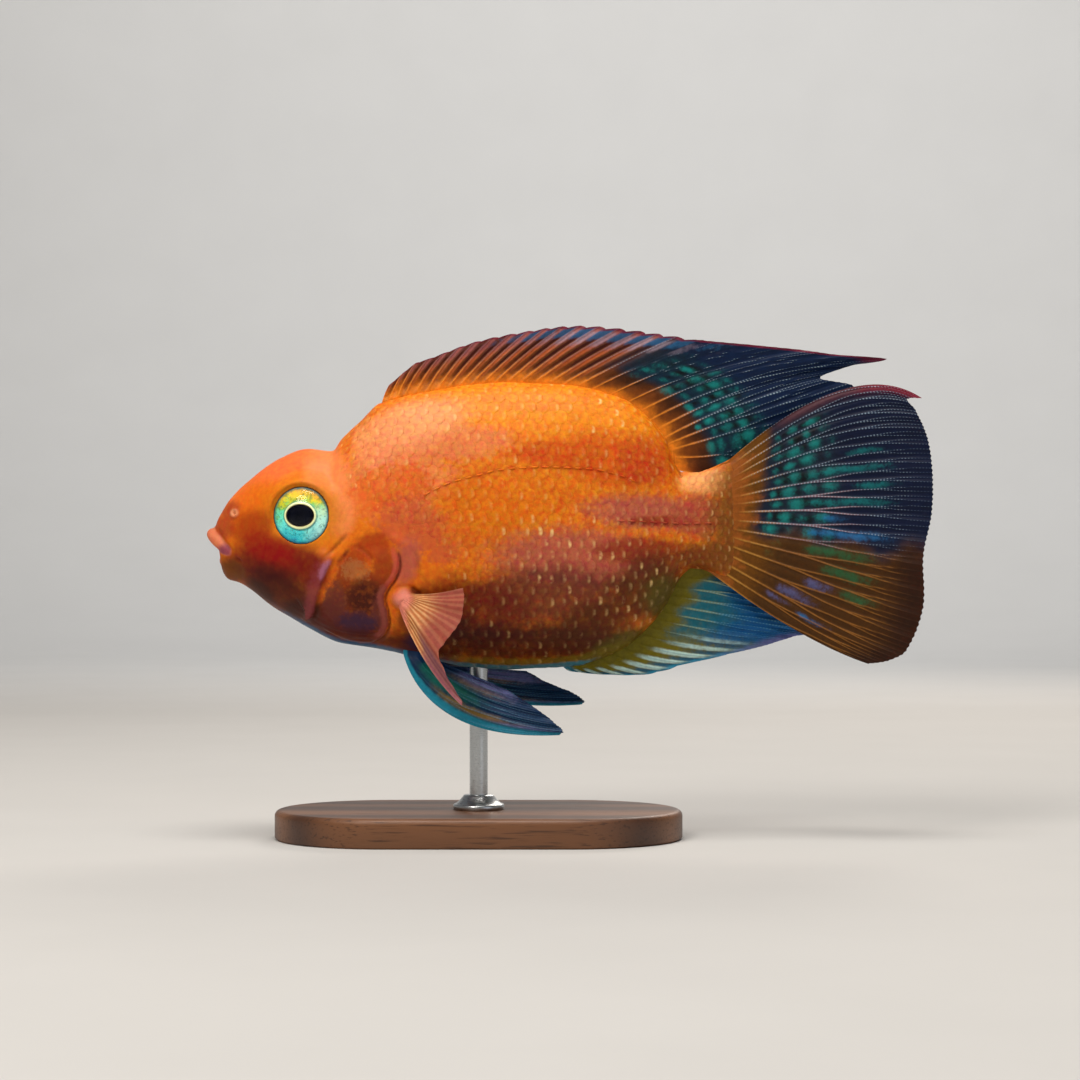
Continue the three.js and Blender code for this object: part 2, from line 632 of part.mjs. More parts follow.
// Parting the body
const wholeBody = solidFrom(bodyGeometry());
const bodyGrown = solidFrom(grown(bodyGeometry(), GAP));
const shifted = (outline, by) => outline.map(([x, z]) => [x + by, z]);
const headZone = block([...NAPE_TO_THROAT, [-BEYOND, -FAR], [-BEYOND, FAR]]);
const torsoZone = block([
  ...shifted(NAPE_TO_THROAT, PARTING_GAP), [STALK_START, -FAR], [STALK_START, FAR],
]);
const stalkZone = block([
  [STALK_START + GAP, -FAR], [BODY_END + BEYOND, -FAR], [BODY_END + BEYOND, FAR], [STALK_START + GAP, FAR],
]);
const jawZone = block([
  [MOUTH.front, MOUTH.lower], MOUTH.corner, MOUTH.jawFoot, [MOUTH.front, MOUTH.jawFoot[1]],
]);
const jawCut = block([
  [MOUTH.front, MOUTH.upper],
  [MOUTH.corner[0] + GAP, MOUTH.corner[1] + GAP],
  [MOUTH.jawFoot[0] + PARTING_GAP, MOUTH.jawFoot[1]],
  [MOUTH.jawFoot[0] + PARTING_GAP, MOUTH.jawFoot[1] - UNDER_JAW],
  [MOUTH.front, MOUTH.jawFoot[1] - UNDER_JAW],
]);

const upperLip = roll(bothSides(UPPER_LIP), LIP_STEPS.upper);
const upperLipGrown = roll(bothSides(fatter(UPPER_LIP, GAP)), LIP_STEPS.upper);

function headSolid() {
  let head = wholeBody.intersect(headZone).subtract(jawCut);
  for (const side of [-1, 1]) {
    head = head.add(orbit(side)).add(cheekRidge(side));
    head = head.subtract(solidFrom(eyeball(side, GAP))).subtract(nostril(side));
  }
  return largest(head.subtract(upperLipGrown));
}

function jawSolid() {
  const jaw = wholeBody.intersect(jawZone).add(roll(bothSides(LOWER_LIP), LIP_STEPS.lower));
  return largest(jaw.subtract(upperLipGrown));
}

// Materials, by the colour that each part shows
const skin = {
  head: { color: 0xc8401a, roughness: 0.42 },
  lips: { color: 0xe08a72, roughness: 0.38 },
  jaw: { color: 0x9a6a26, roughness: 0.42 },
  gills: { color: 0xb04a26, roughness: 0.36 },
  flank: { color: 0xe2701e, roughness: 0.4 },
  stalk: { color: 0xd0663a, roughness: 0.42 },
  eye: { color: 0x35c8c0, roughness: 0.08 },
  dorsal: { color: 0x7a3420, roughness: 0.4 },
  caudal: { color: 0x0e2a52, roughness: 0.4 },
  anal: { color: 0x2a6f9a, roughness: 0.4 },
  pelvic: { color: 0x1c4a66, roughness: 0.4 },
  pectoral: { color: 0xd8745a, roughness: 0.42 },
};
const walnut = { color: 0x4a2c1a, roughness: 0.45 };
const brushedSteel = { color: 0xb8bcc0, roughness: 0.32, metalness: 1 };

function piece(name, geometry, look) {
  const mesh = new THREE.Mesh(geometry, new THREE.MeshStandardMaterial(look));
  mesh.name = name;
  return mesh;
}

function cutPiece(name, solid, look) {
  return piece(name, geometryFrom(solid), look);
}

const fish = new THREE.Group();
fish.position.set(-ROD_X, 0, FISH_HEIGHT);
fish.add(
  cutPiece("head", headSolid(), skin.head),
  cutPiece("upper_lip", upperLip, skin.lips),
  cutPiece("lower_jaw", jawSolid(), skin.jaw),
  cutPiece("gill_cover_left", gillCover(-1), skin.gills),
  cutPiece("gill_cover_right", gillCover(1), skin.gills),
  piece("eye_left", eyeball(-1), skin.eye),
  piece("eye_right", eyeball(1), skin.eye),
  cutPiece("torso", largest(wholeBody.intersect(torsoZone)), skin.flank),
  cutPiece("tail_stalk", largest(wholeBody.intersect(stalkZone)), skin.stalk),
  cutPiece("dorsal_fin", largest(finSolid(DORSAL_FIN).subtract(bodyGrown)), skin.dorsal),
  cutPiece("caudal_fin", largest(finSolid(CAUDAL_FIN).subtract(bodyGrown)), skin.caudal),
  cutPiece("anal_fin", largest(finSolid(ANAL_FIN).subtract(bodyGrown)), skin.anal),
  cutPiece("pelvic_fin_left", largest(finSolid(PELVIC_FIN_LEFT).subtract(bodyGrown)), skin.pelvic),
  cutPiece("pelvic_fin_right", largest(finSolid(PELVIC_FIN_RIGHT).subtract(bodyGrown)), skin.pelvic),
  cutPiece("pectoral_fin_left", largest(pectoralFin().subtract(bodyGrown)), skin.pectoral),
  cutPiece("stand_rod", standRod(), brushedSteel),
);

// The right pectoral mirrors the left one and lies closer to the body
const rightPectoral = pectoralFin().mirror([0, 1, 0]);
const [lobeX, lobeY] = PECTORAL_LOBE.at;
const swung = rightPectoral
  .translate([-lobeX, lobeY, 0])
  .rotate([0, 0, THREE.MathUtils.radToDeg(-RIGHT_PECTORAL_SWING)])
  .translate([lobeX, -lobeY, 0]);
fish.add(cutPiece("pectoral_fin_right", largest(swung.subtract(bodyGrown)), skin.pectoral));

const part = new THREE.Group();
part.add(fish, piece("stand_base", standBase(), walnut), piece("stand_collar", standCollar(), brushedSteel));

export default part;
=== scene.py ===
# Blood parrot cichlid, life size, on a walnut and steel display stand
import math
import bpy
import numpy as np
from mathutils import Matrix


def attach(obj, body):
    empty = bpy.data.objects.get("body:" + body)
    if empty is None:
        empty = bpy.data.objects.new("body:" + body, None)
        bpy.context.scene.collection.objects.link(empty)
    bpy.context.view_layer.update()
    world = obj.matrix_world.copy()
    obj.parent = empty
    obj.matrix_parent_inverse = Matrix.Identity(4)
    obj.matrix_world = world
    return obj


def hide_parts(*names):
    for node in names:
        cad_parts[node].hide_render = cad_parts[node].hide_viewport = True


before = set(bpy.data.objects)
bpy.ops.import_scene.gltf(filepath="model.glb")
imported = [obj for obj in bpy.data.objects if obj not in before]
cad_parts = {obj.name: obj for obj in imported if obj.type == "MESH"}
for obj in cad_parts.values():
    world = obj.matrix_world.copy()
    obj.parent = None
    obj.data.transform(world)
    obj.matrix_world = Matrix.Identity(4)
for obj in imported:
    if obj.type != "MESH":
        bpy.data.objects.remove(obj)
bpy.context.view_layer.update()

# Sizes are in millimetres in the fish's own frame: x from the tip of the upper lip to the tail, z up from
# the line between eye and mouth, -y the fish's left. newPiece turns them into metres in the stand's frame.
mm = 0.001
stand = {"rodX": 75.0, "fishHeight": 82.0, "rodRadius": 2.5, "rodSink": 0.5, "rodReach": 1.2,
         "baseLength": 112.0, "baseWidth": 62.0, "baseHeight": 8.0, "baseEdge": 1.6, "baseFoot": 0.4,
         "baseRim": 1.5, "collarRadius": 7.0, "collarShoulder": 4.2, "collarHeight": 4.0, "collarWall": 1.2,
         "collarFoot": 1.5, "collarBevel": 0.2, "collarStep": 0.25, "flatAngle": 50}
fishAt = np.array([-stand["rodX"], 0.0, stand["fishHeight"]])
rng = np.random.default_rng(7)


# Curves and fields
def smoothstep(low, high, value):
    t = np.clip((np.asarray(value, float) - low) / (high - low), 0, 1)
    return t * t * (3 - 2 * t)


def bell(distance, width):
    return np.exp(-((np.asarray(distance) / width) ** 2))


def lerp(a, b, t):
    return a + (b - a) * t


def hermite(xs, values, tangents, x):
    x = np.asarray(x, float)
    i = np.clip(np.searchsorted(xs, x) - 1, 0, len(xs) - 2)
    span = xs[i + 1] - xs[i]
    t = np.clip((x - xs[i]) / span, 0, 1)
    if values.ndim > 1:
        span, t = span[..., None], t[..., None]
    rise = values[i + 1] - values[i]
    swing = (1 - t) * (tangents[i] * span - rise) - t * (tangents[i + 1] * span - rise)
    return values[i] + rise * t + t * (1 - t) * swing


def profile(points):  # smooth through [x, value] points, never swings past them
    xs, values = np.array(points, float).T
    slopes = np.diff(values) / np.diff(xs)
    before, after = slopes[:-1], slopes[1:]
    product = before * after
    middle = np.where(product > 0, 2 * product / np.where(product > 0, before + after, 1), 0)
    tangents = np.concatenate([[slopes[0]], middle, [slopes[-1]]])
    return lambda x: hermite(xs, values, tangents, x)


def smoothThrough(xs, values):  # passes freely round its points
    xs, values = np.array(xs, float), np.array(values, float)
    at = np.arange(len(xs))
    low, high = np.maximum(at - 1, 0), np.minimum(at + 1, len(xs) - 1)
    run = xs[high] - xs[low]
    tangents = (values[high] - values[low]) / (run[:, None] if values.ndim > 1 else run)
    return lambda x: hermite(xs, values, tangents, x)


def roundedPath(points, closed=False, steps=10):  # a smooth line through points of any dimension
    points = np.array(points, float)
    if closed:
        points = np.vstack([points, points[:1]])
    at = np.arange(len(points))
    along = np.linspace(0, len(points) - 1, (len(points) - 1) * steps + 1)
    if not closed:
        return smoothThrough(at, points)(along)
    padded = np.vstack([points[-2], points, points[1]])
    return hermite(at.astype(float), points, (padded[2:] - padded[:-2]) / 2, along)


# Distance to a line of segments, the share of the line at the nearest place, and the side of the line
def pathDistance(points, path):
    best = np.full(len(points), 1e9)
    share = np.zeros(len(points))
    side = np.zeros(len(points))
    count = len(path) - 1
    for i in range(count):
        a, d = path[i], path[i + 1] - path[i]
        t = np.clip(((points - a) @ d) / max(d @ d, 1e-12), 0, 1)
        gap = points - (a + t[:, None] * d)
        length = np.hypot(gap[:, 0], gap[:, 1])
        nearer = length < best
        best = np.where(nearer, length, best)
        share = np.where(nearer, (i + t) / count, share)
        side = np.where(nearer, np.sign(d[0] * gap[:, 1] - d[1] * gap[:, 0]), side)
    return best, share, side


def insideOf(points, ring):  # True inside a closed ring
    inside = np.zeros(len(points), bool)
    for a, b in zip(ring[:-1], ring[1:]):
        crosses = (a[1] > points[:, 1]) != (b[1] > points[:, 1])
        slope = (b[0] - a[0]) / (b[1] - a[1] if b[1] != a[1] else 1e-9)
        inside ^= crosses & (points[:, 0] < a[0] + (points[:, 1] - a[1]) * slope)
    return inside


latticeSize = 32
softLattice = np.random.default_rng(3).random((latticeSize,) * 3)


def softNoise(points, size):  # smooth noise from 0 to 1, its lumps about size across
    at = np.asarray(points, float) / size
    cell = np.floor(at).astype(int)
    t = at - cell
    t = t * t * (3 - 2 * t)
    total = 0
    for corner in range(8):
        bit = [(corner >> axis) & 1 for axis in range(3)]
        weight = 1
        for axis in range(3):
            weight = weight * (t[:, axis] if bit[axis] else 1 - t[:, axis])
        index = [(cell[:, axis] + bit[axis]) % latticeSize for axis in range(3)]
        total = total + weight * softLattice[index[0], index[1], index[2]]
    return total


# Body form
body = {
    "start": 2.2, "end": 146.5, "backPower": 2.1, "bellyPower": 2.35, "widestShare": 0.48,
    "tailBendStart": 108.0, "tailBendSideways": -2.6, "flankRelief": (1.5, 4.5), "flankMarkings": (1.5, 5),
    "back": [
        (2.2, 2.6), (3, 5.2), (4.4, 7.7), (6.6, 11), (12.1, 16.6), (20.4, 22.6), (28.1, 25.2), (34.9, 24.3),
        (37.4, 27.5), (42.4, 32.7), (47.9, 37.6), (58.9, 40.3), (72.6, 42.5), (83.6, 43.3), (100.1, 42.4),
        (113.9, 39.1), (119.4, 35.5), (123.5, 31.4), (126.2, 27.6), (128.4, 21.6), (130.6, 18.6),
        (135, 18.5), (139.2, 20), (146.5, 23.8)],
    "belly": [
        (2.2, -0.4), (3.4, -2.4), (4, -5), (4.6, -8.6), (6.3, -10.9), (8.8, -11.6), (12.1, -13.4),
        (17.6, -17.6), (28.6, -24.3), (36.9, -28.2), (47.9, -30), (58.9, -32.5), (72.6, -34.9),
        (83.6, -35.5),
        (102.9, -34.3), (113.9, -30.2), (119.4, -26), (123.5, -21.5), (127.1, -16.3), (130.4, -10),
        (133.7, -7.8), (137, -8.4), (146.5, -14)],
    "halfWidth": [
        (2.2, 1.6), (4, 4.6), (8, 7.1), (14, 10.1), (20, 12.3), (28, 14.3), (36, 15.9), (45, 17.4),
        (54, 18.4), (66, 18.7), (78, 18.3), (90, 17.2), (104, 14.9), (117, 12), (126, 8.8), (133, 6.4),
        (139, 4.9), (146.5, 1.3)],
    "mouthFront": -3, "mouthGape": (-4.7, -2.5), "mouthCorner": (8.2, -4.7), "mouthCornerHalf": 0.12,
    "mouthReach": 12,
    "upperLip": [  # x, y, z and radius from the corner to the middle
        (7.5, 5.1, -3.3, 1.05), (6.3, 4.9, -2.6, 1.3), (4.9, 4.3, -1.6, 1.5), (3.3, 3.3, -0.2, 1.65),
        (2.2, 1.8, 1.1, 1.75), (1.85, 0, 1.65)],
    "upperLipMiddle": 1.8,
    "lowerLip": [(7.6, 4.9, -5.9, 0.75), (6.1, 3.9, -5.8, 1.05), (5.1, 2.1, -5.7, 1.2), (4.9, 0, -5.7)],
    "lowerLipMiddle": 1.25, "lipSteps": 8, "lipSides": 28,
    "around": 168, "ringStep": 0.9, "slopeProbe": 0.3, "lastGap": 0.5, "voxel": 0.42,
}
back, belly, halfWidth = (profile(body[key]) for key in ("back", "belly", "halfWidth"))


def midline(x):
    along = np.maximum(0, x - body["tailBendStart"]) / (body["end"] - body["tailBendStart"])
    return body["tailBendSideways"] * along ** 2


def offMiddle(points, band):  # 0 in the middle of the fish, 1 on its flanks
    return smoothstep(*band, np.abs(points[:, 1] - midline(points[:, 0])))


def widestHeight(x):
    return lerp(belly(x), back(x), body["widestShare"])


def sideways(x, z):  # distance of the skin from the midline at a place in the side view
    mid = widestHeight(x)
    above = z > mid
    reach = np.where(above, back(x) - mid, mid - belly(x))
    share = np.minimum(1, np.abs(z - mid) / reach)
    power = np.where(above, body["backPower"], body["bellyPower"])
    return halfWidth(x) * np.sqrt(1 - share ** power)


def sectionPoint(x, angle):  # on the right half of the skin, angle from -90 at the belly to 90 at the back
    mid = widestHeight(x)
    up = np.sin(angle) > 0
    reach = np.where(up, back(x) - mid, mid - belly(x))
    power = np.where(up, body["backPower"], body["bellyPower"])
    z = mid + np.sign(np.sin(angle)) * reach * np.abs(np.sin(angle)) ** (2 / power)
    return np.stack([x + 0 * z, halfWidth(x) * np.cos(angle), z], -1)


# Mesh making
def newPiece(name, points, faces, smooth=True):
    if isinstance(faces, np.ndarray):
        faces = faces.tolist()
    mesh = bpy.data.meshes.new(name)
    mesh.from_pydata((np.asarray(points, float) + fishAt) * mm, [], faces)
    mesh.update()
    mesh.polygons.foreach_set("use_smooth", np.full(len(mesh.polygons), smooth))
    piece = bpy.data.objects.new(name, mesh)
    bpy.context.scene.collection.objects.link(piece)
    return piece


def vertexValues(piece, what):
    values = np.empty(len(piece.data.vertices) * 3)
    piece.data.vertices.foreach_get(what, values)
    return values.reshape(-1, 3)


def pointsOf(piece):
    return vertexValues(piece, "co") / mm - fishAt


def movePoints(piece, points):
    piece.data.vertices.foreach_set("co", ((points + fishAt) * mm).astype(np.float32).ravel())
    piece.data.update()


def setFields(piece, fields):  # one number for each vertex, which the materials read by name
    for name, values in fields.items():
        attribute = piece.data.attributes.new(name, "FLOAT", "POINT")
        attribute.data.foreach_set("value", np.asarray(values, np.float32))


def gridFaces(rows, columns):
    corner = (np.arange(rows - 1)[:, None] * columns + np.arange(columns - 1)[None, :]).ravel()
    return np.stack([corner, corner + columns, corner + columns + 1, corner + 1], -1)


def gridBorder(rows, columns):  # the points along the edge of a grid, all the way round
    border = [(i, 0) for i in range(rows - 1)] + [(rows - 1, j) for j in range(columns - 1)]
    border += [(i, columns - 1) for i in range(rows - 1, 0, -1)]
    border += [(0, j) for j in range(columns - 1, 0, -1)]
    return np.array([i * columns + j for i, j in border])


def ringFaces(count, size):  # between closed rings of points that follow each other
    faces = []
    for r in range(count - 1):
        for k in range(size):
            n = (k + 1) % size
            faces.append((r * size + k, r * size + n, (r + 1) * size + n, (r + 1) * size + k))
    return faces


def pointedEnds(count, size):  # from the first and the last ring to one point each, listed after the rings
    last = (count - 1) * size
    faces = []
    for k in range(size):
        n = (k + 1) % size
        faces.append((n, k, count * size))
        faces.append((last + k, last + n, count * size + 1))
    return faces


def flatEnds(count, size):  # one face on the first ring and one on the last
    last = (count - 1) * size
    return [tuple(range(size - 1, -1, -1)), tuple(range(last, last + size))]


def tube(places, steps, sides):  # a closed roll of flesh along places of x, y, z and radius
    bulge = 0.7  # how far a round end stands out, of its radius
    track = roundedPath(places, steps=steps)
    centres, radii = track[:, :3], track[:, 3]
    tangent = np.gradient(centres, axis=0)
    tangent /= np.linalg.norm(tangent, axis=1)[:, None]
    across = np.cross(tangent, [0.0, 0.3, 1.0])
    across /= np.linalg.norm(across, axis=1)[:, None]
    upward = np.cross(across, tangent)
    angles = np.linspace(0, 2 * math.pi, sides, endpoint=False)
    ring = np.cos(angles)[None, :, None] * across[:, None] + np.sin(angles)[None, :, None] * upward[:, None]
    points = (centres[:, None] + radii[:, None, None] * ring).reshape(-1, 3)
    ends = np.stack([centres[0] - tangent[0] * radii[0] * bulge,
                     centres[-1] + tangent[-1] * radii[-1] * bulge])
    return np.vstack([points, ends]), ringFaces(len(centres), sides) + pointedEnds(len(centres), sides)


def bothSides(places, middleRadius):
    full = [p if len(p) == 4 else (*p, middleRadius) for p in places]
    return full + [(x, -y, z, radius) for x, y, z, radius in reversed(full[:-1])]


def applyModifier(piece, name, kind, **settings):
    modifier = piece.modifiers.new(name, kind)
    for key, value in settings.items():
        setattr(modifier, key, value)
    depsgraph = bpy.context.evaluated_depsgraph_get()
    mesh = bpy.data.meshes.new_from_object(piece.evaluated_get(depsgraph))
    piece.modifiers.clear()
    old = piece.data
    piece.data = mesh
    bpy.data.meshes.remove(old)


# Features of the head in the side view. A pair of numbers is where a feature starts and where it is full.
eyeSocket = {
    "at": (27.8, 6.6), "out": 10.9, "turn": 0.2, "level": 2.95, "reach": 13.0, "hold": 0.92, "held": 8.6,
    "fold": 9.2, "foldHeight": 0.75, "foldWidth": 0.8, "overhead": (-0.35, 0.9), "overheadWay": (-0.5, 0.87),
    "groove": 8.15, "grooveDepth": 0.55, "grooveWidth": 0.45, "rim": (7.75, 7.3), "depth": 3.2,
    "offMiddle": 2}
nostril = {"at": (8.4, 7.4), "radii": (1 / 1.15, 1.0), "ring": 1.0, "ringWidth": 0.42, "ringHeight": 0.3,
           "hole": (0.6, 0.2), "holeDepth": 0.8}
cheekRidge = {
    "path": [(37.2, -3.6), (36.1, -5.4), (34.1, -8.8), (32.4, -13.5), (31.3, -16.9), (30.4, -20.3),
             (28.4, -21.9), (26.3, -21.3)],
    "height": 0.9, "front": (-0.3, 0.45), "fall": (1.4, 7.5), "start": (0.0, 0.2), "end": (1.0, 0.86),
    "grooveAt": -0.7, "grooveDepth": 0.3, "grooveWidth": 0.5}
gillCover = {
    "rim": [(40.2, -2.8), (43.6, 0.9), (48.4, 2.6), (51.8, 0.1), (53.3, -3.4), (53.9, -6.8), (52.9, -10.0),
            (50.6, -13.3), (49.7, -16.0), (50.4, -19.2), (50.7, -22.8), (49.2, -26.0), (45.8, -27.9),
            (40.5, -27.6), (35.5, -25.6), (31.5, -22.2), (32.8, -16.0), (34.8, -10.8), (37.6, -6.4)],
    "rear": (43, 50), "rearTop": (-6.5, -1.0), "topShare": 0.06,
    "under": (-21, -25), "underFrom": (31, 36), "underShare": 0.6,
    "height": 0.95, "membrane": (-0.25, 0.5), "membraneShare": 0.6, "bone": (1.2, 2.7),
    "dome": 0.7, "domeIn": (0.5, 11), "domeFrom": (35, 43), "slitAt": -0.5, "slitDepth": 0.7,
    "slitWidth": 0.42}
# The last column is the strength of the painted dark red shade in the crease
creases = [  # path, depth, width, redness
    ([(40.6, 2.6), (39.4, 1.2), (37.8, -0.6), (35.6, -2.9), (32.6, -5.6), (29.6, -8.0)], 0.3, 0.5, 0.55),
    ([(41.2, -1.8), (40.0, -3.0), (38.6, -4.8), (37.3, -6.4), (36.0, -8.6)], 0.36, 0.5, 0.7),
    ([(39.8, -1.8), (43, -2.0), (45.6, -3.8), (47.6, -6.1), (49.9, -8.1)], 0.26, 0.5, 0.35),
    ([(3.2, 4.6), (4.0, 2.4), (5.6, -0.4), (7.3, -2.3), (9.0, -3.4)], 0.42, 0.5, 0.3),
    ([(8.2, -4.7), (9.6, -5.3), (10.8, -6.6)], 0.45, 0.45, 0.6),
    ([(10.6, -6.8), (10.2, -9.6), (9.8, -11.5)], 0.16, 0.7, 0.0),
    ([(53.4, -0.6), (57.4, -2.9), (59.2, -5.8), (59.7, -9.2), (61.8, -12.4), (64.0, -13.4)], 0.32, 0.6, 0.3),
    ([(56.5, -12.2), (58.6, -14.0), (61.0, -14.6)], 0.5, 0.7, 0.9)]
creaseEnds = ((0, 0.3), (1, 0.6))  # shares of its length over which a crease comes up and dies away
throat = {"levels": (1.5, 3.1, 4.6), "depth": 0.1, "width": 0.35, "slope": 0.05, "slopeFrom": 28,
          "start": (22, 30), "end": (55, 47)}
collarFold = {"path": [(53.2, 0.2), (56.4, -2.6), (57.8, -6.0), (57.9, -9.6), (59.6, -12.6)],
              "height": 0.55, "width": 1.5}
axil = {"at": (56.5, -20.0), "radii": (3.2, 4.5), "depth": 0.8, "width": 0.8}
knob = {"at": (55.2, -15.9), "radii": (3.4, 2.9), "height": 3.4, "flank": (1.12, 0.25),
        "grooveAt": 1.22, "grooveDepth": 0.4, "grooveWidth": 0.14}
lateralLines = [
    [(60, 11.5), (62.2, 12.9), (67.6, 15.4), (75.7, 17.6), (81.1, 18.9), (91.9, 19.7), (102.6, 19.4),
     (108.0, 18.9), (113.4, 17.5), (118.8, 15.4)],
    [(112, 5.3), (121.6, 4.9), (130, 4.5), (141, 4.6)]]
swell = {"size": 9.0, "height": 0.4, "fineSize": 3.1, "fineHeight": 0.12, "fineShift": 50}


def unevenness(points):  # slow swell of living flesh, shared by skin and scales
    slow = swell["height"] * (softNoise(points, swell["size"]) - 0.5)
    return slow + swell["fineHeight"] * (softNoise(points + swell["fineShift"], swell["fineSize"]) - 0.5)


def ovalDistance(flat, spot):  # 1 on the edge of an oval
    (cx, cz), (rx, rz) = spot["at"], spot["radii"]
    return np.hypot((flat[:, 0] - cx) / rx, (flat[:, 1] - cz) / rz)


def gillInset(flat):  # distance inside the rim of the gill cover, below 0 outside it
    ring = roundedPath(gillCover["rim"], closed=True)
    distance = pathDistance(flat, ring)[0]
    return np.where(insideOf(flat, ring), distance, -distance)


def gillRear(x, z):  # 1 along the free rear edge of the gill cover, 0 where it joins the cheek
    top = lerp(1, gillCover["topShare"], smoothstep(*gillCover["rearTop"], z))
    under = gillCover["underShare"] * smoothstep(*gillCover["under"], z)
    under = under * smoothstep(*gillCover["underFrom"], x)
    return np.maximum(smoothstep(*gillCover["rear"], x) * top, under)


def cheekAhead(flat):  # distance in front of the cheek ridge, and how far along the ridge
    distance, share, turn = pathDistance(flat, roundedPath(cheekRidge["path"]))
    return np.where(turn < 0, distance, -distance), share


# For each crease its depth, width and strength of painted shade, the distance to it, and its fading ends
def creaseLines(flat):
    for path, depth, width, shadeStrength in creases:
        distance, share = pathDistance(flat, roundedPath(path))[:2]
        ends = smoothstep(*creaseEnds[0], share) * smoothstep(*creaseEnds[1], share)
        yield depth, width, shadeStrength, distance, ends


def reliefAt(points):  # how far the skin of the head stands out or in, in mm
    flat = points[:, [0, 2]]
    x, z = flat.T
    # Gill cover: domed plate, a soft rolled membrane behind, then the slit
    inner, behind = gillInset(flat), gillRear(x, z)
    edge = lerp(smoothstep(*gillCover["bone"], inner), smoothstep(*gillCover["membrane"], inner),
                gillCover["membraneShare"])
    height = gillCover["height"] * behind * edge
    dome = gillCover["dome"] * smoothstep(*gillCover["domeIn"], inner)
    height += dome * smoothstep(*gillCover["domeFrom"], x)
    height -= gillCover["slitDepth"] * bell(inner - gillCover["slitAt"], gillCover["slitWidth"]) * behind
    # Ridge across the cheek: a soft band in front, a sharp step behind
    ahead, share = cheekAhead(flat)
    band = smoothstep(*cheekRidge["front"], ahead) * (1 - smoothstep(*cheekRidge["fall"], ahead))
    groove = cheekRidge["grooveDepth"] * bell(ahead - cheekRidge["grooveAt"], cheekRidge["grooveWidth"])
    fade = smoothstep(*cheekRidge["start"], share) * smoothstep(*cheekRidge["end"], share)
    height += (cheekRidge["height"] * band - groove) * fade
    for depth, width, _, distance, ends in creaseLines(flat):
        height -= depth * bell(distance, width) * ends
    # Bare fold behind the gill slit, and the hollow behind the root of the pectoral fin
    foldDistance = pathDistance(flat, roundedPath(collarFold["path"]))[0]
    height += collarFold["height"] * bell(foldDistance, collarFold["width"])
    height -= axil["depth"] * bell(ovalDistance(flat, axil), axil["width"])
    # Fleshy knob that carries the pectoral fin
    fromKnob = ovalDistance(flat, knob)
    height += knob["height"] * smoothstep(*knob["flank"], fromKnob)
    height -= knob["grooveDepth"] * bell(fromKnob - knob["grooveAt"], knob["grooveWidth"])
    # Nostril, a pale raised ring round a small hole
    fromHole = ovalDistance(flat, nostril)
    height += nostril["ringHeight"] * bell(fromHole - nostril["ring"], nostril["ringWidth"])
    height -= nostril["holeDepth"] * smoothstep(*nostril["hole"], fromHole)
    # Folds of the gill membrane, right across the throat
    up = z - belly(x) - throat["slope"] * (x - throat["slopeFrom"])
    folds = sum(bell(up - level, throat["width"]) for level in throat["levels"])
    folds = throat["depth"] * folds * smoothstep(*throat["start"], x) * smoothstep(*throat["end"], x)
    return unevenness(points) + height * offMiddle(points, body["flankRelief"]) - folds


def socketFrame(side):  # the eye's centre and its three axes: forward, out and up
    turn = side * eyeSocket["turn"]
    forward = np.array([math.cos(turn), math.sin(turn), 0])
    out = np.array([-math.sin(turn), math.cos(turn), 0]) * side
    x, z = eyeSocket["at"]
    return np.array([x, side * eyeSocket["out"], z]), forward, out, np.array([0.0, 0.0, 1.0])


# Flesh drawn up close round the eye, with a fold over it, and the socket sunk inside
def seatEye(points, side):
    centre, forward, out, upward = socketFrame(side)
    gap = points - centre
    u, v, level = gap @ forward, gap @ upward, gap @ out
    r = np.maximum(np.hypot(u, v), 1e-6)
    wayU, wayV = eyeSocket["overheadWay"]
    overhead = smoothstep(*eyeSocket["overhead"], (wayU * u + wayV * v) / r)
    fold = eyeSocket["foldHeight"] * bell(r - eyeSocket["fold"], eyeSocket["foldWidth"])
    groove = eyeSocket["grooveDepth"] * bell(r - eyeSocket["groove"], eyeSocket["grooveWidth"])
    seat = eyeSocket["level"] + overhead * (fold - groove)
    newLevel = lerp(level, seat, eyeSocket["hold"] * smoothstep(eyeSocket["reach"], eyeSocket["held"], r))
    newLevel -= eyeSocket["depth"] * smoothstep(*eyeSocket["rim"], r)
    mine = (points[:, 1] * side > eyeSocket["offMiddle"]) & (r < eyeSocket["reach"])
    return points + np.where(mine, newLevel - level, 0)[:, None] * out


def bodyTube():  # the body as rings, closer together where its outline is steep
    probe = body["slopeProbe"]
    stations = [body["start"]]
    while stations[-1] < body["end"] - body["lastGap"]:
        x = stations[-1]
        rise = abs(back(x + probe) - back(x)) / probe + abs(belly(x + probe) - belly(x)) / probe
        stations.append(x + body["ringStep"] / math.hypot(1, rise))
    stations.append(body["end"])
    turn = np.linspace(0, 2 * math.pi, body["around"], endpoint=False)
    turn = (turn + math.pi / 2) % (2 * math.pi)
    rings = []
    for x in stations:
        ring = sectionPoint(np.array(x), np.abs(turn - math.pi) - math.pi / 2)
        ring[:, 1] = ring[:, 1] * np.where(turn < math.pi, 1.0, -1.0) + midline(x)
        rings.append(ring)
    shape = len(rings), len(turn)
    return newPiece("skin", np.vstack(rings), ringFaces(*shape) + flatEnds(*shape))


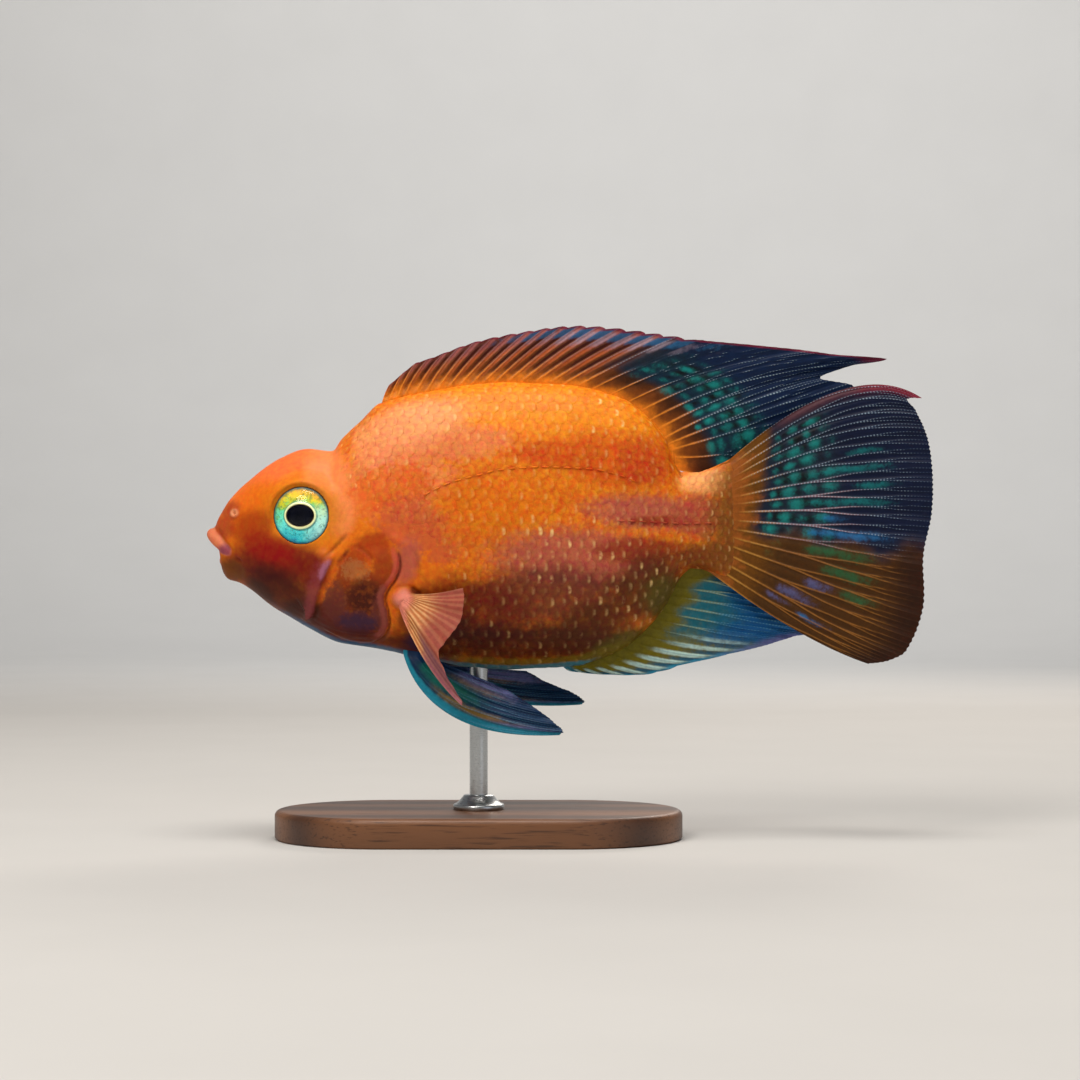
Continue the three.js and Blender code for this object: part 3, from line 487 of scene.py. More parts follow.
def makeSkin():
    skin = bodyTube()
    # The mouth is cut as a wedge, then the lips are added and all is remeshed as one skin
    (cx, cz), half = body["mouthCorner"], body["mouthCornerHalf"]
    front, (low, high), reach = body["mouthFront"], body["mouthGape"], body["mouthReach"]
    wedge = [(front, high), (cx, cz + half), (cx, cz - half), (front, low)]
    corners = [(x, y, z) for y in (-reach, reach) for x, z in wedge]
    inwards = [face[::-1] for face in ringFaces(2, 4) + flatEnds(2, 4)]
    cutter = newPiece("mouthCutter", corners, inwards, smooth=False)
    applyModifier(skin, "mouth", "BOOLEAN", object=cutter, operation="DIFFERENCE", solver="EXACT")
    bpy.data.objects.remove(cutter)
    parts = [skin]
    for lip in ("upperLip", "lowerLip"):
        points, faces = tube(bothSides(body[lip], body[lip + "Middle"]), body["lipSteps"], body["lipSides"])
        parts.append(newPiece(lip, points, faces))
    points = np.vstack([pointsOf(part) for part in parts])
    faces, offset = [], 0
    for part in parts:
        faces += [tuple(offset + v for v in polygon.vertices) for polygon in part.data.polygons]
        offset += len(part.data.vertices)
        bpy.data.objects.remove(part)
    skin = newPiece("skin", points, faces)
    applyModifier(skin, "oneSkin", "REMESH", mode="VOXEL", voxel_size=body["voxel"] * mm, adaptivity=0.0)
    applyModifier(skin, "relax", "SMOOTH", factor=0.5, iterations=5)
    points = pointsOf(skin)
    points = points + vertexValues(skin, "normal") * reliefAt(points)[:, None]
    movePoints(skin, seatEye(seatEye(points, -1), 1))
    skin.data.polygons.foreach_set("use_smooth", np.full(len(skin.data.polygons), True))
    applyModifier(skin, "settle", "SMOOTH", factor=0.4, iterations=1)
    print("skin", len(skin.data.vertices), "vertices")
    return skin


# Markings of skin and scales. Each is painted over those before it: name, colour, how broken up its border
# is, the size of the flecks there in mm, how soft the border is, its strength, and blobs of x, z, two radii
# and a tilt.
markings = [
    ("backGold", "#FA8C16", 0.6, 2.4, 0.55, 0.9, [(90, 37, 36, 9, -0.03), (112, 30, 12, 10, -0.5)]),
    ("rearOrange", "#D04E06", 0.8, 2.4, 0.5, 0.8, [(112, 22, 14, 7, -0.2), (99, 23.5, 15, 3.6, 0)]),
    ("rearBlush", "#B83210", 1.3, 1.6, 0.45, 0.48, [(120, 22, 7, 7, -0.5)]),
    ("shoulderPeach", "#FB9A5E", 0.8, 2.4, 0.5, 0.95, [(57, 31, 15, 6.5, 0.28), (47, 24, 5, 8, 0.5)]),
    ("shoulderPink", "#EE8048", 1.9, 1.6, 0.35, 0.75, [(53, 16, 15, 11, 0), (70, 26, 14, 4.5, 0.1)]),
    ("shoulderOrange", "#E8640A", 2.4, 1.6, 0.3, 0.8, [(52, 14, 11, 7, 0.2)]),
    ("breastPink", "#D05A30", 1.9, 1.6, 0.35, 0.8, [(57, 5, 9, 6.5, 0), (66, 1, 8, 7, -0.3)]),
    ("flankGold", "#E87206", 1.5, 1.6, 0.45, 0.8, [(79, 4, 13, 10, 0), (72, 12, 10, 4, 0.2)]),
    ("flankMauve", "#B85848", 1.1, 1.6, 0.55, 0.85, [(102, -5, 23, 8, -0.04), (121, 7.6, 17, 4.6, -0.05)]),
    ("flankRed", "#92300A", 0.9, 1.6, 0.5, 0.8, [(127, 5.1, 11, 1.5, 0), (120, -3, 13, 3.6, 0)]),
    # The next four are the fish's own colours low on the body, darkened further as painted shade
    ("lowMauveAndShade", "#622A1E", 0.9, 2.4, 0.6, 0.88, [(94, -15, 21, 8, 0.02)]),
    ("lowRedAndShade", "#6A1A03", 0.7, 2.4, 0.6, 0.9, [(73, -19, 17, 9, -0.1)]),
    ("bellyDarkAndShade", "#3C0A02", 0.7, 2.4, 0.55, 0.95, [(88, -28, 36, 5.5, 0), (64, -27, 12, 8, 0)]),
    ("rearBrownAndShade", "#4E2003", 0.5, 2.4, 0.6, 0.92, [(121, -13, 12, 9, 0.5), (106, -23, 14, 6, 0.3)]),
    ("olive", "#54480A", 0.7, 1.6, 0.5, 0.9, [(127, -17, 6, 8, 0.7), (112, -30, 12, 3.6, 0.5)]),
    ("hemOlive", "#6E5C0C", 0.8, 1.6, 0.45, 0.85, []),
    ("hemTeal", "#1E7C94", 0.8, 1.6, 0.4, 0.85, []),
    ("crown", "#F4743A", 0.5, 2.4, 0.55, 0.9, [(20, 21, 13, 5, 0.5), (10, 12.4, 3.6, 4.6, 0.9)]),
    # Painted highlight, peach, on the nape and behind the eye
    ("napeHighlight", "#F88C4E", 0.6, 2.4, 0.55, 0.95, [(34, 17, 6, 9, 0.1), (38, 7, 4, 6, 0)]),
    ("forehead", "#E46C08", 0.4, 2.4, 0.55, 0.9, [(15, 9, 8, 7, 0.7)]),
    ("amber", "#E08210", 0.4, 1.6, 0.5, 0.85, [(27.8, 6.6, 10.6, 10.2, 0)]),
    ("snout", "#A84020", 0.4, 1.6, 0.6, 0.85, [(5, 3.4, 3.5, 3.6, 0.6), (7.2, 7.6, 2.6, 3.4, -0.7)]),
    ("nostrilPale", "#F0A474", 0.2, 0.9, 0.5, 0.75, [(8.4, 7.4, 1.2, 1.1, 0)]),
    ("faceRust", "#AA3E04", 0.4, 1.6, 0.55, 0.85, [(13.5, 3.5, 6, 4.6, 0.3)]),
    # The cheek's own deep red, darkened further as painted shade
    ("cheek", "#6E0602", 0.35, 2.4, 0.6, 0.96, [(20, -6.2, 14.5, 6.4, -0.05), (30, -8, 5, 6, 0.4)]),
    ("cheekBright", "#9C1204", 0.4, 1.6, 0.6, 0.75, [(18.5, -2.4, 8, 4.0, -0.4)]),
    # The jowl's own dark red, darkened further as painted shade
    ("jowl", "#3C0401", 0.35, 2.4, 0.6, 0.95, [(22, -15, 13, 6.4, -0.5), (33, -21, 6, 5, 0)]),
    ("jowlBrown", "#33150A", 0.5, 1.6, 0.55, 0.7, [(27, -19.4, 5, 3.2, -0.2), (15, -13.4, 5, 2.2, -0.6)]),
    ("chin", "#66360A", 0.4, 1.6, 0.55, 0.9, [(7.4, -8.6, 4.2, 3.6, -0.2)]),
    ("gillOrange", "#B03E04", 0.9, 1.6, 0.55, 0.95, [(46, -1, 8, 5.5, -0.2), (41, -5, 5, 4, 0)]),
    ("gillRust", "#942E04", 0.9, 1.6, 0.55, 0.85,
     [(50, -9, 3.4, 6, 0), (39, -9, 2.4, 5, -0.3), (47, -12, 4, 4, 0)]),
    ("gillDeep", "#601A05", 0.7, 1.6, 0.55, 0.9, [(43, -20, 13, 9.5, 0)]),
    ("gillTan", "#B0703C", 2.0, 0.9, 0.4, 0.75, [(42.0, -8.2, 4.4, 3.0, -0.3)]),
    ("gillDark", "#3A0A03", 1.3, 1.6, 0.5, 0.9, [(44.4, -15.2, 5.4, 4.6, 0)]),
    ("gillPlum", "#6A2E26", 1.9, 1.6, 0.4, 0.75, [(36, -16.6, 3.6, 6, 0.1), (48.6, -20, 2.4, 6, 0)]),
    ("gillViolet", "#34203E", 1.4, 1.6, 0.5, 0.85, [(42.4, -22.8, 5.6, 3.2, 0)]),
    ("gillFlecks", "#B4540E", 1.6, 1.6, 0.3, 0.42, [(44, -10, 10, 11, 0)]),
    ("throatDark", "#521A10", 0.6, 1.6, 0.6, 0.85, []),
    ("throatBlue", "#1C587E", 0.6, 1.6, 0.45, 0.9, []),
    ("throatViolet", "#241A3A", 0.5, 1.6, 0.6, 0.7, [(60, -27.6, 5, 2.8, 0)]),
    ("axilOrange", "#84360A", 0.6, 1.6, 0.55, 0.9, [(56.4, -21.6, 2.8, 3.4, 0)]),
    # Painted highlight along the top of the tail stalk
    ("stalkTopHighlight", "#FAA45C", 0.7, 1.6, 0.5, 0.95, [(137.5, 16, 7.5, 3.6, 0.05)]),
    ("stalkPink", "#B24E34", 1.2, 1.6, 0.5, 0.9, [(135, 6.8, 7, 6, 0)]),
    ("stalkBrown", "#78390A", 0.8, 1.6, 0.5, 0.9, [(138, -5, 8, 4.5, 0)]),
    ("stalkGold", "#824A12", 0.8, 1.6, 0.6, 0.97, [(150, 5, 12.5, 23, 0)]),
    ("collarPink", "#BE5A46", 0.7, 1.6, 0.55, 0.9, [(56.2, -5.6, 3.3, 6.6, -0.25)]),
    ("knobPink", "#D8806C", 0.3, 1.6, 0.55, 0.95, [(55.2, -15.9, 3.0, 2.6, 0)]),
    ("membranePink", "#C8543C", 0.6, 1.6, 0.5, 0.85, []),
    ("membraneRose", "#A04E42", 1.1, 1.6, 0.5, 0.75, []),
    ("ridgePink", "#8E3C40", 1.2, 1.6, 0.6, 0.72, []),
    # Painted highlight, lilac, on the upper part of the cheek ridge
    ("ridgeLilacHighlight", "#B4708E", 0.8, 0.9, 0.5, 0.75, [(34.2, -8.2, 1.7, 2.8, -0.5)]),
    ("lips", "#DC7C56", 0.3, 1.6, 0.45, 0.9, []),
    ("lipViolet", "#8E3A56", 0.4, 1.6, 0.6, 0.9, [(6.8, -3.4, 3.4, 2.5, 0)]),
    # Painted shade in the creases and the gill slit
    ("creaseShade", "#5A0A03", 0.5, 0.9, 0.5, 0.8, []),
    ("lineRust", "#9C3404", 0.7, 0.9, 0.5, 0.6, []),
]


def blobMask(x, z, blobs):  # 1 in the middle of a blob, 0.5 at its edge, 0 well outside
    mask = np.zeros(len(x))
    for cx, cz, rx, rz, tilt in blobs:
        u = (x - cx) * math.cos(tilt) + (z - cz) * math.sin(tilt)
        v = -(x - cx) * math.sin(tilt) + (z - cz) * math.cos(tilt)
        mask = np.maximum(mask, smoothstep(1.55, 0.45, np.hypot(u / rx, v / rz)))
    return mask


# Bands along the rim of the gill cover: from the rim, inwards, where in x, where each starts and ends in z
rimBands = {"membranePink": ((-0.5, 0.3), (2.0, 0.9), (48, 52), (-0.5, -4.0), (-16, -11)),
            "membraneRose": ((-0.4, 0.3), (2.8, 1.0), (44, 48), (-10, -14), (-28.5, -25))}
# Bands along the belly: height above it, and where each starts and ends
bellyBands = {"throatDark": ((7.5, 3), (22, 32), (66, 56)), "throatBlue": ((2.4, 0.2), (14, 30), (74, 60)),
              "hemOlive": ((4.4, 1.6), (62, 76), (122, 112)), "hemTeal": ((1.9, 0.6), (60, 72), (112, 100))}
gillStrengths = {"gillOrange": 1, "gillRust": 1, "gillDeep": 1, "gillTan": 0.8, "gillDark": 1, "gillPlum": 1,
                 "gillViolet": 1, "gillFlecks": 0.42}


def markingsAt(points):
    flat = points[:, [0, 2]]
    x, z = flat.T
    masks = {marking[0]: blobMask(x, z, marking[-1]) for marking in markings}
    onFlank = offMiddle(points, body["flankMarkings"])
    inner, behind = gillInset(flat), gillRear(x, z)
    blend = lerp(2.0, 0.5, behind)  # the plate's colours end sharply only along its free edge
    inGill = smoothstep(-blend, blend, inner)
    for name, strength in gillStrengths.items():
        masks[name] = strength * masks[name] * inGill
    masks["napeHighlight"] = masks["napeHighlight"] * (1 - inGill)
    for name, (inside, inwards, place, below, above) in rimBands.items():
        masks[name] = (smoothstep(*inside, inner) * smoothstep(*inwards, inner) * smoothstep(*place, x)
                       * smoothstep(*below, z) * smoothstep(*above, z))
    ahead, share = cheekAhead(flat)
    onRidge = smoothstep(-0.5, 0.7, ahead)
    masks["ridgePink"] = (onRidge * smoothstep(5.6, 1.2, ahead) * smoothstep(0.05, 0.35, share)
                          * smoothstep(1.0, 0.8, share) * onFlank)
    masks["ridgeLilacHighlight"] = masks["ridgeLilacHighlight"] * onRidge
    for name, (height, start, end) in bellyBands.items():
        masks[name] = smoothstep(*height, z - belly(x)) * smoothstep(*start, x) * smoothstep(*end, x)
    # Painted shade, dark red, in the creases, strongest in the gill slit
    red = 0.9 * bell(inner + 0.45, 0.4) * smoothstep(47, 51, x) * smoothstep(-1, -5, z)
    for _, width, shadeStrength, distance, ends in creaseLines(flat):
        red = np.maximum(red, shadeStrength * bell(distance, width * 1.5) * ends)
    masks["creaseShade"] = red * onFlank
    for line in lateralLines:
        distance, share = pathDistance(flat, roundedPath(line))[:2]
        line = bell(distance, 0.5) * smoothstep(0, 0.2, share) * 0.8
        masks["lineRust"] = np.maximum(masks["lineRust"], line)
    # The lip is all that lies within the roll of flesh
    fromLip = np.full(len(x), 99.0)
    for px, py, pz, radius in roundedPath(bothSides(body["upperLip"], body["upperLipMiddle"]), steps=6):
        fromLip = np.minimum(fromLip, np.linalg.norm(points - np.array([px, py, pz]), axis=1) - radius)
    masks["lips"] = smoothstep(0.8, 0.0, fromLip)
    masks["lipViolet"] = masks["lipViolet"] * masks["lips"]
    return masks


# Scales
scales = {
    "rowPitch": 3.2, "scalePitch": 3.3, "root": -1.1, "tip": 1.3, "halfHeight": 2.3, "thickness": 0.2,
    "lift": 0.17, "rootDepth": 0.12, "crown": 0.07, "edgeDrop": 0.07, "clearance": 0.04, "keel": 0.3,
    "tipBlunt": 1.7, "tipRound": 0.86, "smallest": 0.6, "fullDepth": 78.8,
    "alongSteps": (0, 0.2, 0.42, 0.6, 0.74, 0.83, 0.89, 0.94, 0.975, 1.0),
    "acrossSteps": (-1, -0.93, -0.78, -0.55, -0.28, 0, 0.28, 0.55, 0.78, 0.93, 1),
    "baseLine": [(34, 6), (60, 6), (90, 5.5), (120, 5), (148, 5)],
    "front": [(33.5, 27), (36.5, 20), (41, 13), (46.5, 7.5), (52, 4.5), (57, 2.0), (62.0, -2), (64, -8),
              (65, -14), (62, -20), (58.5, -25), (56.5, -36)],
    "rows": 17, "first": 30.0, "last": 144.6, "fadeIn": 7.0, "fadeOut": (136, 144.6),
    "youngest": 0.62, "tailShare": 0.8, "backMargin": 0.6, "bellyMargin": 1.6,
    "sizeSpread": (0.95, 1.06), "liftSpread": (0.75, 1.25), "turnSpread": 0.07, "placeSpread": 0.12,
}
# Painted highlight along the free edges of the scales, how strong: base strength, then places x, z, two
# radii, tilt and the strength there
edgeHighlights = {"base": 0.22, "bright": 0.12, "brightness": 1.9, "spread": (0.1, 1.0),
         "places": [(57, 27, 14, 14, 0, 0.16), (52, 8, 14, 12, 0, 0.14), (92, 33, 34, 6, 0, 0.5),
                    (98, -4, 20, 9, 0, 0.52), (112, -14, 16, 10, 0, 0.34), (80, -26, 26, 8, 0, 0.14),
                    (146, 0, 6, 24, 0, 0.25)]}
# The skin unrolled: a grid of angles by place along the fish and by arc from the base line
unrolled = {"firstX": 28, "lastX": 147.6, "stepX": 0.4, "arcReach": 62, "stepArc": 0.25, "angles": 361}
unrolled["xs"] = np.arange(unrolled["firstX"], unrolled["lastX"], unrolled["stepX"])
unrolled["arcs"] = np.arange(-unrolled["arcReach"], unrolled["arcReach"] + 0.01, unrolled["stepArc"])


def unrollBody():
    angles = np.linspace(-math.pi / 2, math.pi / 2, unrolled["angles"])
    baseLine = profile(scales["baseLine"])
    rows, limits = [], []
    for x in unrolled["xs"]:
        ring = sectionPoint(np.array(x), angles)
        arc = np.concatenate([[0], np.cumsum(np.linalg.norm(np.diff(ring, axis=0), axis=1))])
        arc -= np.interp(baseLine(x), ring[:, 2], arc)
        rows.append(np.interp(unrolled["arcs"], arc, angles))
        limits.append((arc[0], arc[-1]))
    unrolled["angle"] = np.array(rows)
    unrolled["limits"] = np.array(limits)


def gridPlace(value, steps, step):  # the cell of an even grid that a value lies in, and how far across it
    place = np.clip((value - steps[0]) / step, 0, len(steps) - 1.001)
    return place.astype(int), place - place.astype(int)


def skinAt(x, arc, side):
    i, u = gridPlace(x, unrolled["xs"], unrolled["stepX"])
    j, v = gridPlace(arc, unrolled["arcs"], unrolled["stepArc"])
    a = unrolled["angle"]
    angle = lerp(lerp(a[i, j], a[i + 1, j], u), lerp(a[i, j + 1], a[i + 1, j + 1], u), v)
    point = sectionPoint(x, angle)
    point[..., 1] = point[..., 1] * side + midline(x)
    return point


def skinNormal(x, arc, side):
    step = 0.3
    alongX = skinAt(x + step, arc, side) - skinAt(x - step, arc, side)
    alongArc = skinAt(x, arc + step, side) - skinAt(x, arc - step, side)
    normal = np.cross(alongX, alongArc) * -side
    return normal / np.linalg.norm(normal, axis=-1)[..., None]


def rowScale(x):  # scales are smaller where the body is slim
    return lerp(scales["smallest"], 1.0, np.clip((back(x) - belly(x)) / scales["fullDepth"], 0, 1))


def scalePlaces():  # column place, row number and size of each scale of one side
    front = profile([(-z, x) for x, z in scales["front"]])
    columns = [scales["first"]]
    while columns[-1] < scales["last"]:
        columns.append(columns[-1] + 0.5 * scales["scalePitch"] * rowScale(columns[-1]))
    places = []
    for c, x in enumerate(columns):
        low, high = (np.interp(x, unrolled["xs"], limit) for limit in unrolled["limits"].T)
        for k in range(-scales["rows"], scales["rows"] + 1):
            arc = k * scales["rowPitch"] * rowScale(x)
            onBody = low + scales["bellyMargin"] < arc < high - scales["backMargin"]
            if (k + c) % 2 or not onBody:
                continue
            start = front(-skinAt(np.array([x]), np.array([arc]), 1)[0, 2])
            if x < start:
                continue
            young = lerp(scales["youngest"], 1.0, float(smoothstep(0, scales["fadeIn"], x - start)))
            young *= lerp(1.0, scales["tailShare"], float(smoothstep(*scales["fadeOut"], x)))
            places.append((x, k, young))
    return places


def scaleShape():  # places along and across one scale, its outline and how far it stands off the skin
    u, v = np.meshgrid(scales["alongSteps"], scales["acrossSteps"], indexing="ij")
    # Narrow at the root, widest in the middle, a blunt round free edge behind
    widen = np.sin(np.clip(0.28 + 0.62 * u, 0, 1) * math.pi / 1.24) ** 0.6
    edge = scales["tip"] - scales["tipBlunt"] * (1 - np.sqrt(1 - scales["tipRound"] * v ** 2))
    along = scales["root"] + u * (scales["scalePitch"] + edge - scales["root"])
    across = v * scales["halfHeight"] * widen
    rounding = np.maximum(smoothstep(0.9, 1.0, u), smoothstep(0.86, 1.0, np.abs(v)))
    lift = scales["lift"] * u ** 0.85 - scales["crown"] * v ** 2 * u - scales["edgeDrop"] * rounding
    return u, v, along, across, lift


def scaleFaces(rows, columns):  # the top of a scale, a wall round it and a floor of triangles under it
    border = gridBorder(rows, columns)
    under = rows * columns + np.arange(len(border))
    middle = np.full(len(border), rows * columns + len(border))
    walls = np.stack([border, np.roll(border, -1), np.roll(under, -1), under], -1)
    return gridFaces(rows, columns), walls, np.stack([under, np.roll(under, -1), middle], -1)


def makeScales(name, side, places):
    u, v, along, across, lift = scaleShape()
    border = gridBorder(*u.shape)
    faceKinds = [kind[:, ::1 if side < 0 else -1] for kind in scaleFaces(*u.shape)]
    centre = u.size // 2
    total = u.size + len(border) + 1
    spread, shift = scales["turnSpread"], scales["placeSpread"]
    rim = np.concatenate([u.ravel(), u.ravel()[border] * 0.6, [0]])
    aside = np.concatenate([v.ravel(), v.ravel()[border], [0]])
    allPoints, allFaces, roots = [], [], []
    tint, glint = [], []
    for x, k, young in places:
        size = rowScale(x) * young * rng.uniform(*scales["sizeSpread"])
        tilt, turn = rng.uniform(*scales["liftSpread"]), rng.uniform(-spread, spread)
        px = x + (along + across * turn) * size + rng.uniform(-shift, shift)
        pa = k * scales["rowPitch"] * rowScale(px) + (across - along * turn) * size
        pa = pa + rng.uniform(-shift, shift)
        point = skinAt(px, pa, side).reshape(-1, 3)
        normal = skinNormal(px, pa, side).reshape(-1, 3)
        grown = smoothstep(scales["youngest"], 1.0, young)
        raised = 0.3 + 0.7 * grown * smoothstep(*scales["fadeOut"][::-1], x)
        height = unevenness(point) + lift.ravel() * tilt * raised - scales["rootDepth"] * (1 - u.ravel())
        top = point + normal * (height + scales["clearance"])[:, None]
        under = top[border] - normal[border] * scales["thickness"]
        for faces in faceKinds:
            allFaces += (faces + len(roots) * total).tolist()
        allPoints += [top, under, (top[centre] - normal[centre] * scales["keel"])[None]]
        tint.append(rng.random())
        # How strong the painted highlight on this scale's free edge is; a few scales glint brightly
        strength = edgeHighlightStrength(x, float(point[centre, 2]))
        bright = rng.random() < edgeHighlights["bright"]
        glint.append(min(1, strength * (edgeHighlights["brightness"] if bright else rng.uniform(*edgeHighlights["spread"]))))
        roots.append((x, k * scales["rowPitch"] * rowScale(x)))
    points = np.vstack(allPoints)
    piece = newPiece(name, points, allFaces)
    rims, asides = np.tile(rim, len(roots)), np.tile(aside, len(roots))
    setFields(piece, {"rim": rims, "across": asides, "tint": np.repeat(tint, total),
                      "glint": np.repeat(glint, total)})
    setFields(piece, markingsAt(points))
    bakeMap(piece, np.repeat(roots, total, axis=0), np.stack([rims, 0.5 + 0.5 * asides], -1))
    print(name, len(places), "scales")
    return piece


def bakeMap(piece, roots, inPatch):  # each scale is a small patch at its root's place on the unrolled skin
    size, span, firstX = 0.003, 130.0, 26.0
    uv = np.column_stack([(roots[:, 0] - firstX) / span, 0.5 + roots[:, 1] / span]) + inPatch * size
    loops = np.empty(len(piece.data.loops), np.int32)
    piece.data.loops.foreach_get("vertex_index", loops)
    layer = piece.data.uv_layers.new(name="OFBake")
    layer.data.foreach_set("uv", uv[loops].astype(np.float32).ravel())


# Strength of the painted edge highlight at a place on the body
def edgeHighlightStrength(x, z):
    strength = edgeHighlights["base"]
    for *blob, there in edgeHighlights["places"]:
        strength = lerp(strength, there, blobMask(np.array([x]), np.array([z]), [blob])[0])
    return float(strength)


# Pores of the lateral line: short raised tubes, one on each scale of the line
poreTubes = {"first": 0.8, "length": 1.9, "pitch": 3.0, "lastGap": 2.4, "lift": 0.2,
         "radii": (0.12, 0.22, 0.26, 0.22, 0.1), "sides": 10}


def makeLateralLine(name, side):
    points, faces = [], []
    count = 0
    for line in lateralLines:
        path = roundedPath(line, steps=14)
        length = np.concatenate([[0], np.cumsum(np.linalg.norm(np.diff(path, axis=0), axis=1))])
        at = poreTubes["first"]
        while at < length[-1] - poreTubes["lastGap"]:
            stretch = np.linspace(at, at + poreTubes["length"], len(poreTubes["radii"]))
            x, z = np.interp(stretch, length, path[:, 0]), np.interp(stretch, length, path[:, 1])
            y = side * (sideways(x, z) + poreTubes["lift"]) + midline(x)
            track = np.stack([x, y, z, poreTubes["radii"]], -1).tolist()
            porePoints, poreFaces = tube(track, 2, poreTubes["sides"])
            points.append(porePoints)
            faces += [tuple(count + i for i in face) for face in poreFaces]
            count += len(porePoints)
            at += poreTubes["pitch"]
    points = np.vstack(points)
    piece = newPiece(name, points, faces)
    masks = markingsAt(points)
    masks["lineRust"] = 0 * masks["lineRust"]
    setFields(piece, {"rim": np.full(count, 0.6), "across": np.zeros(count), "tint": np.full(count, 0.5),
                      "glint": np.full(count, 0.2)} | masks)
    return piece


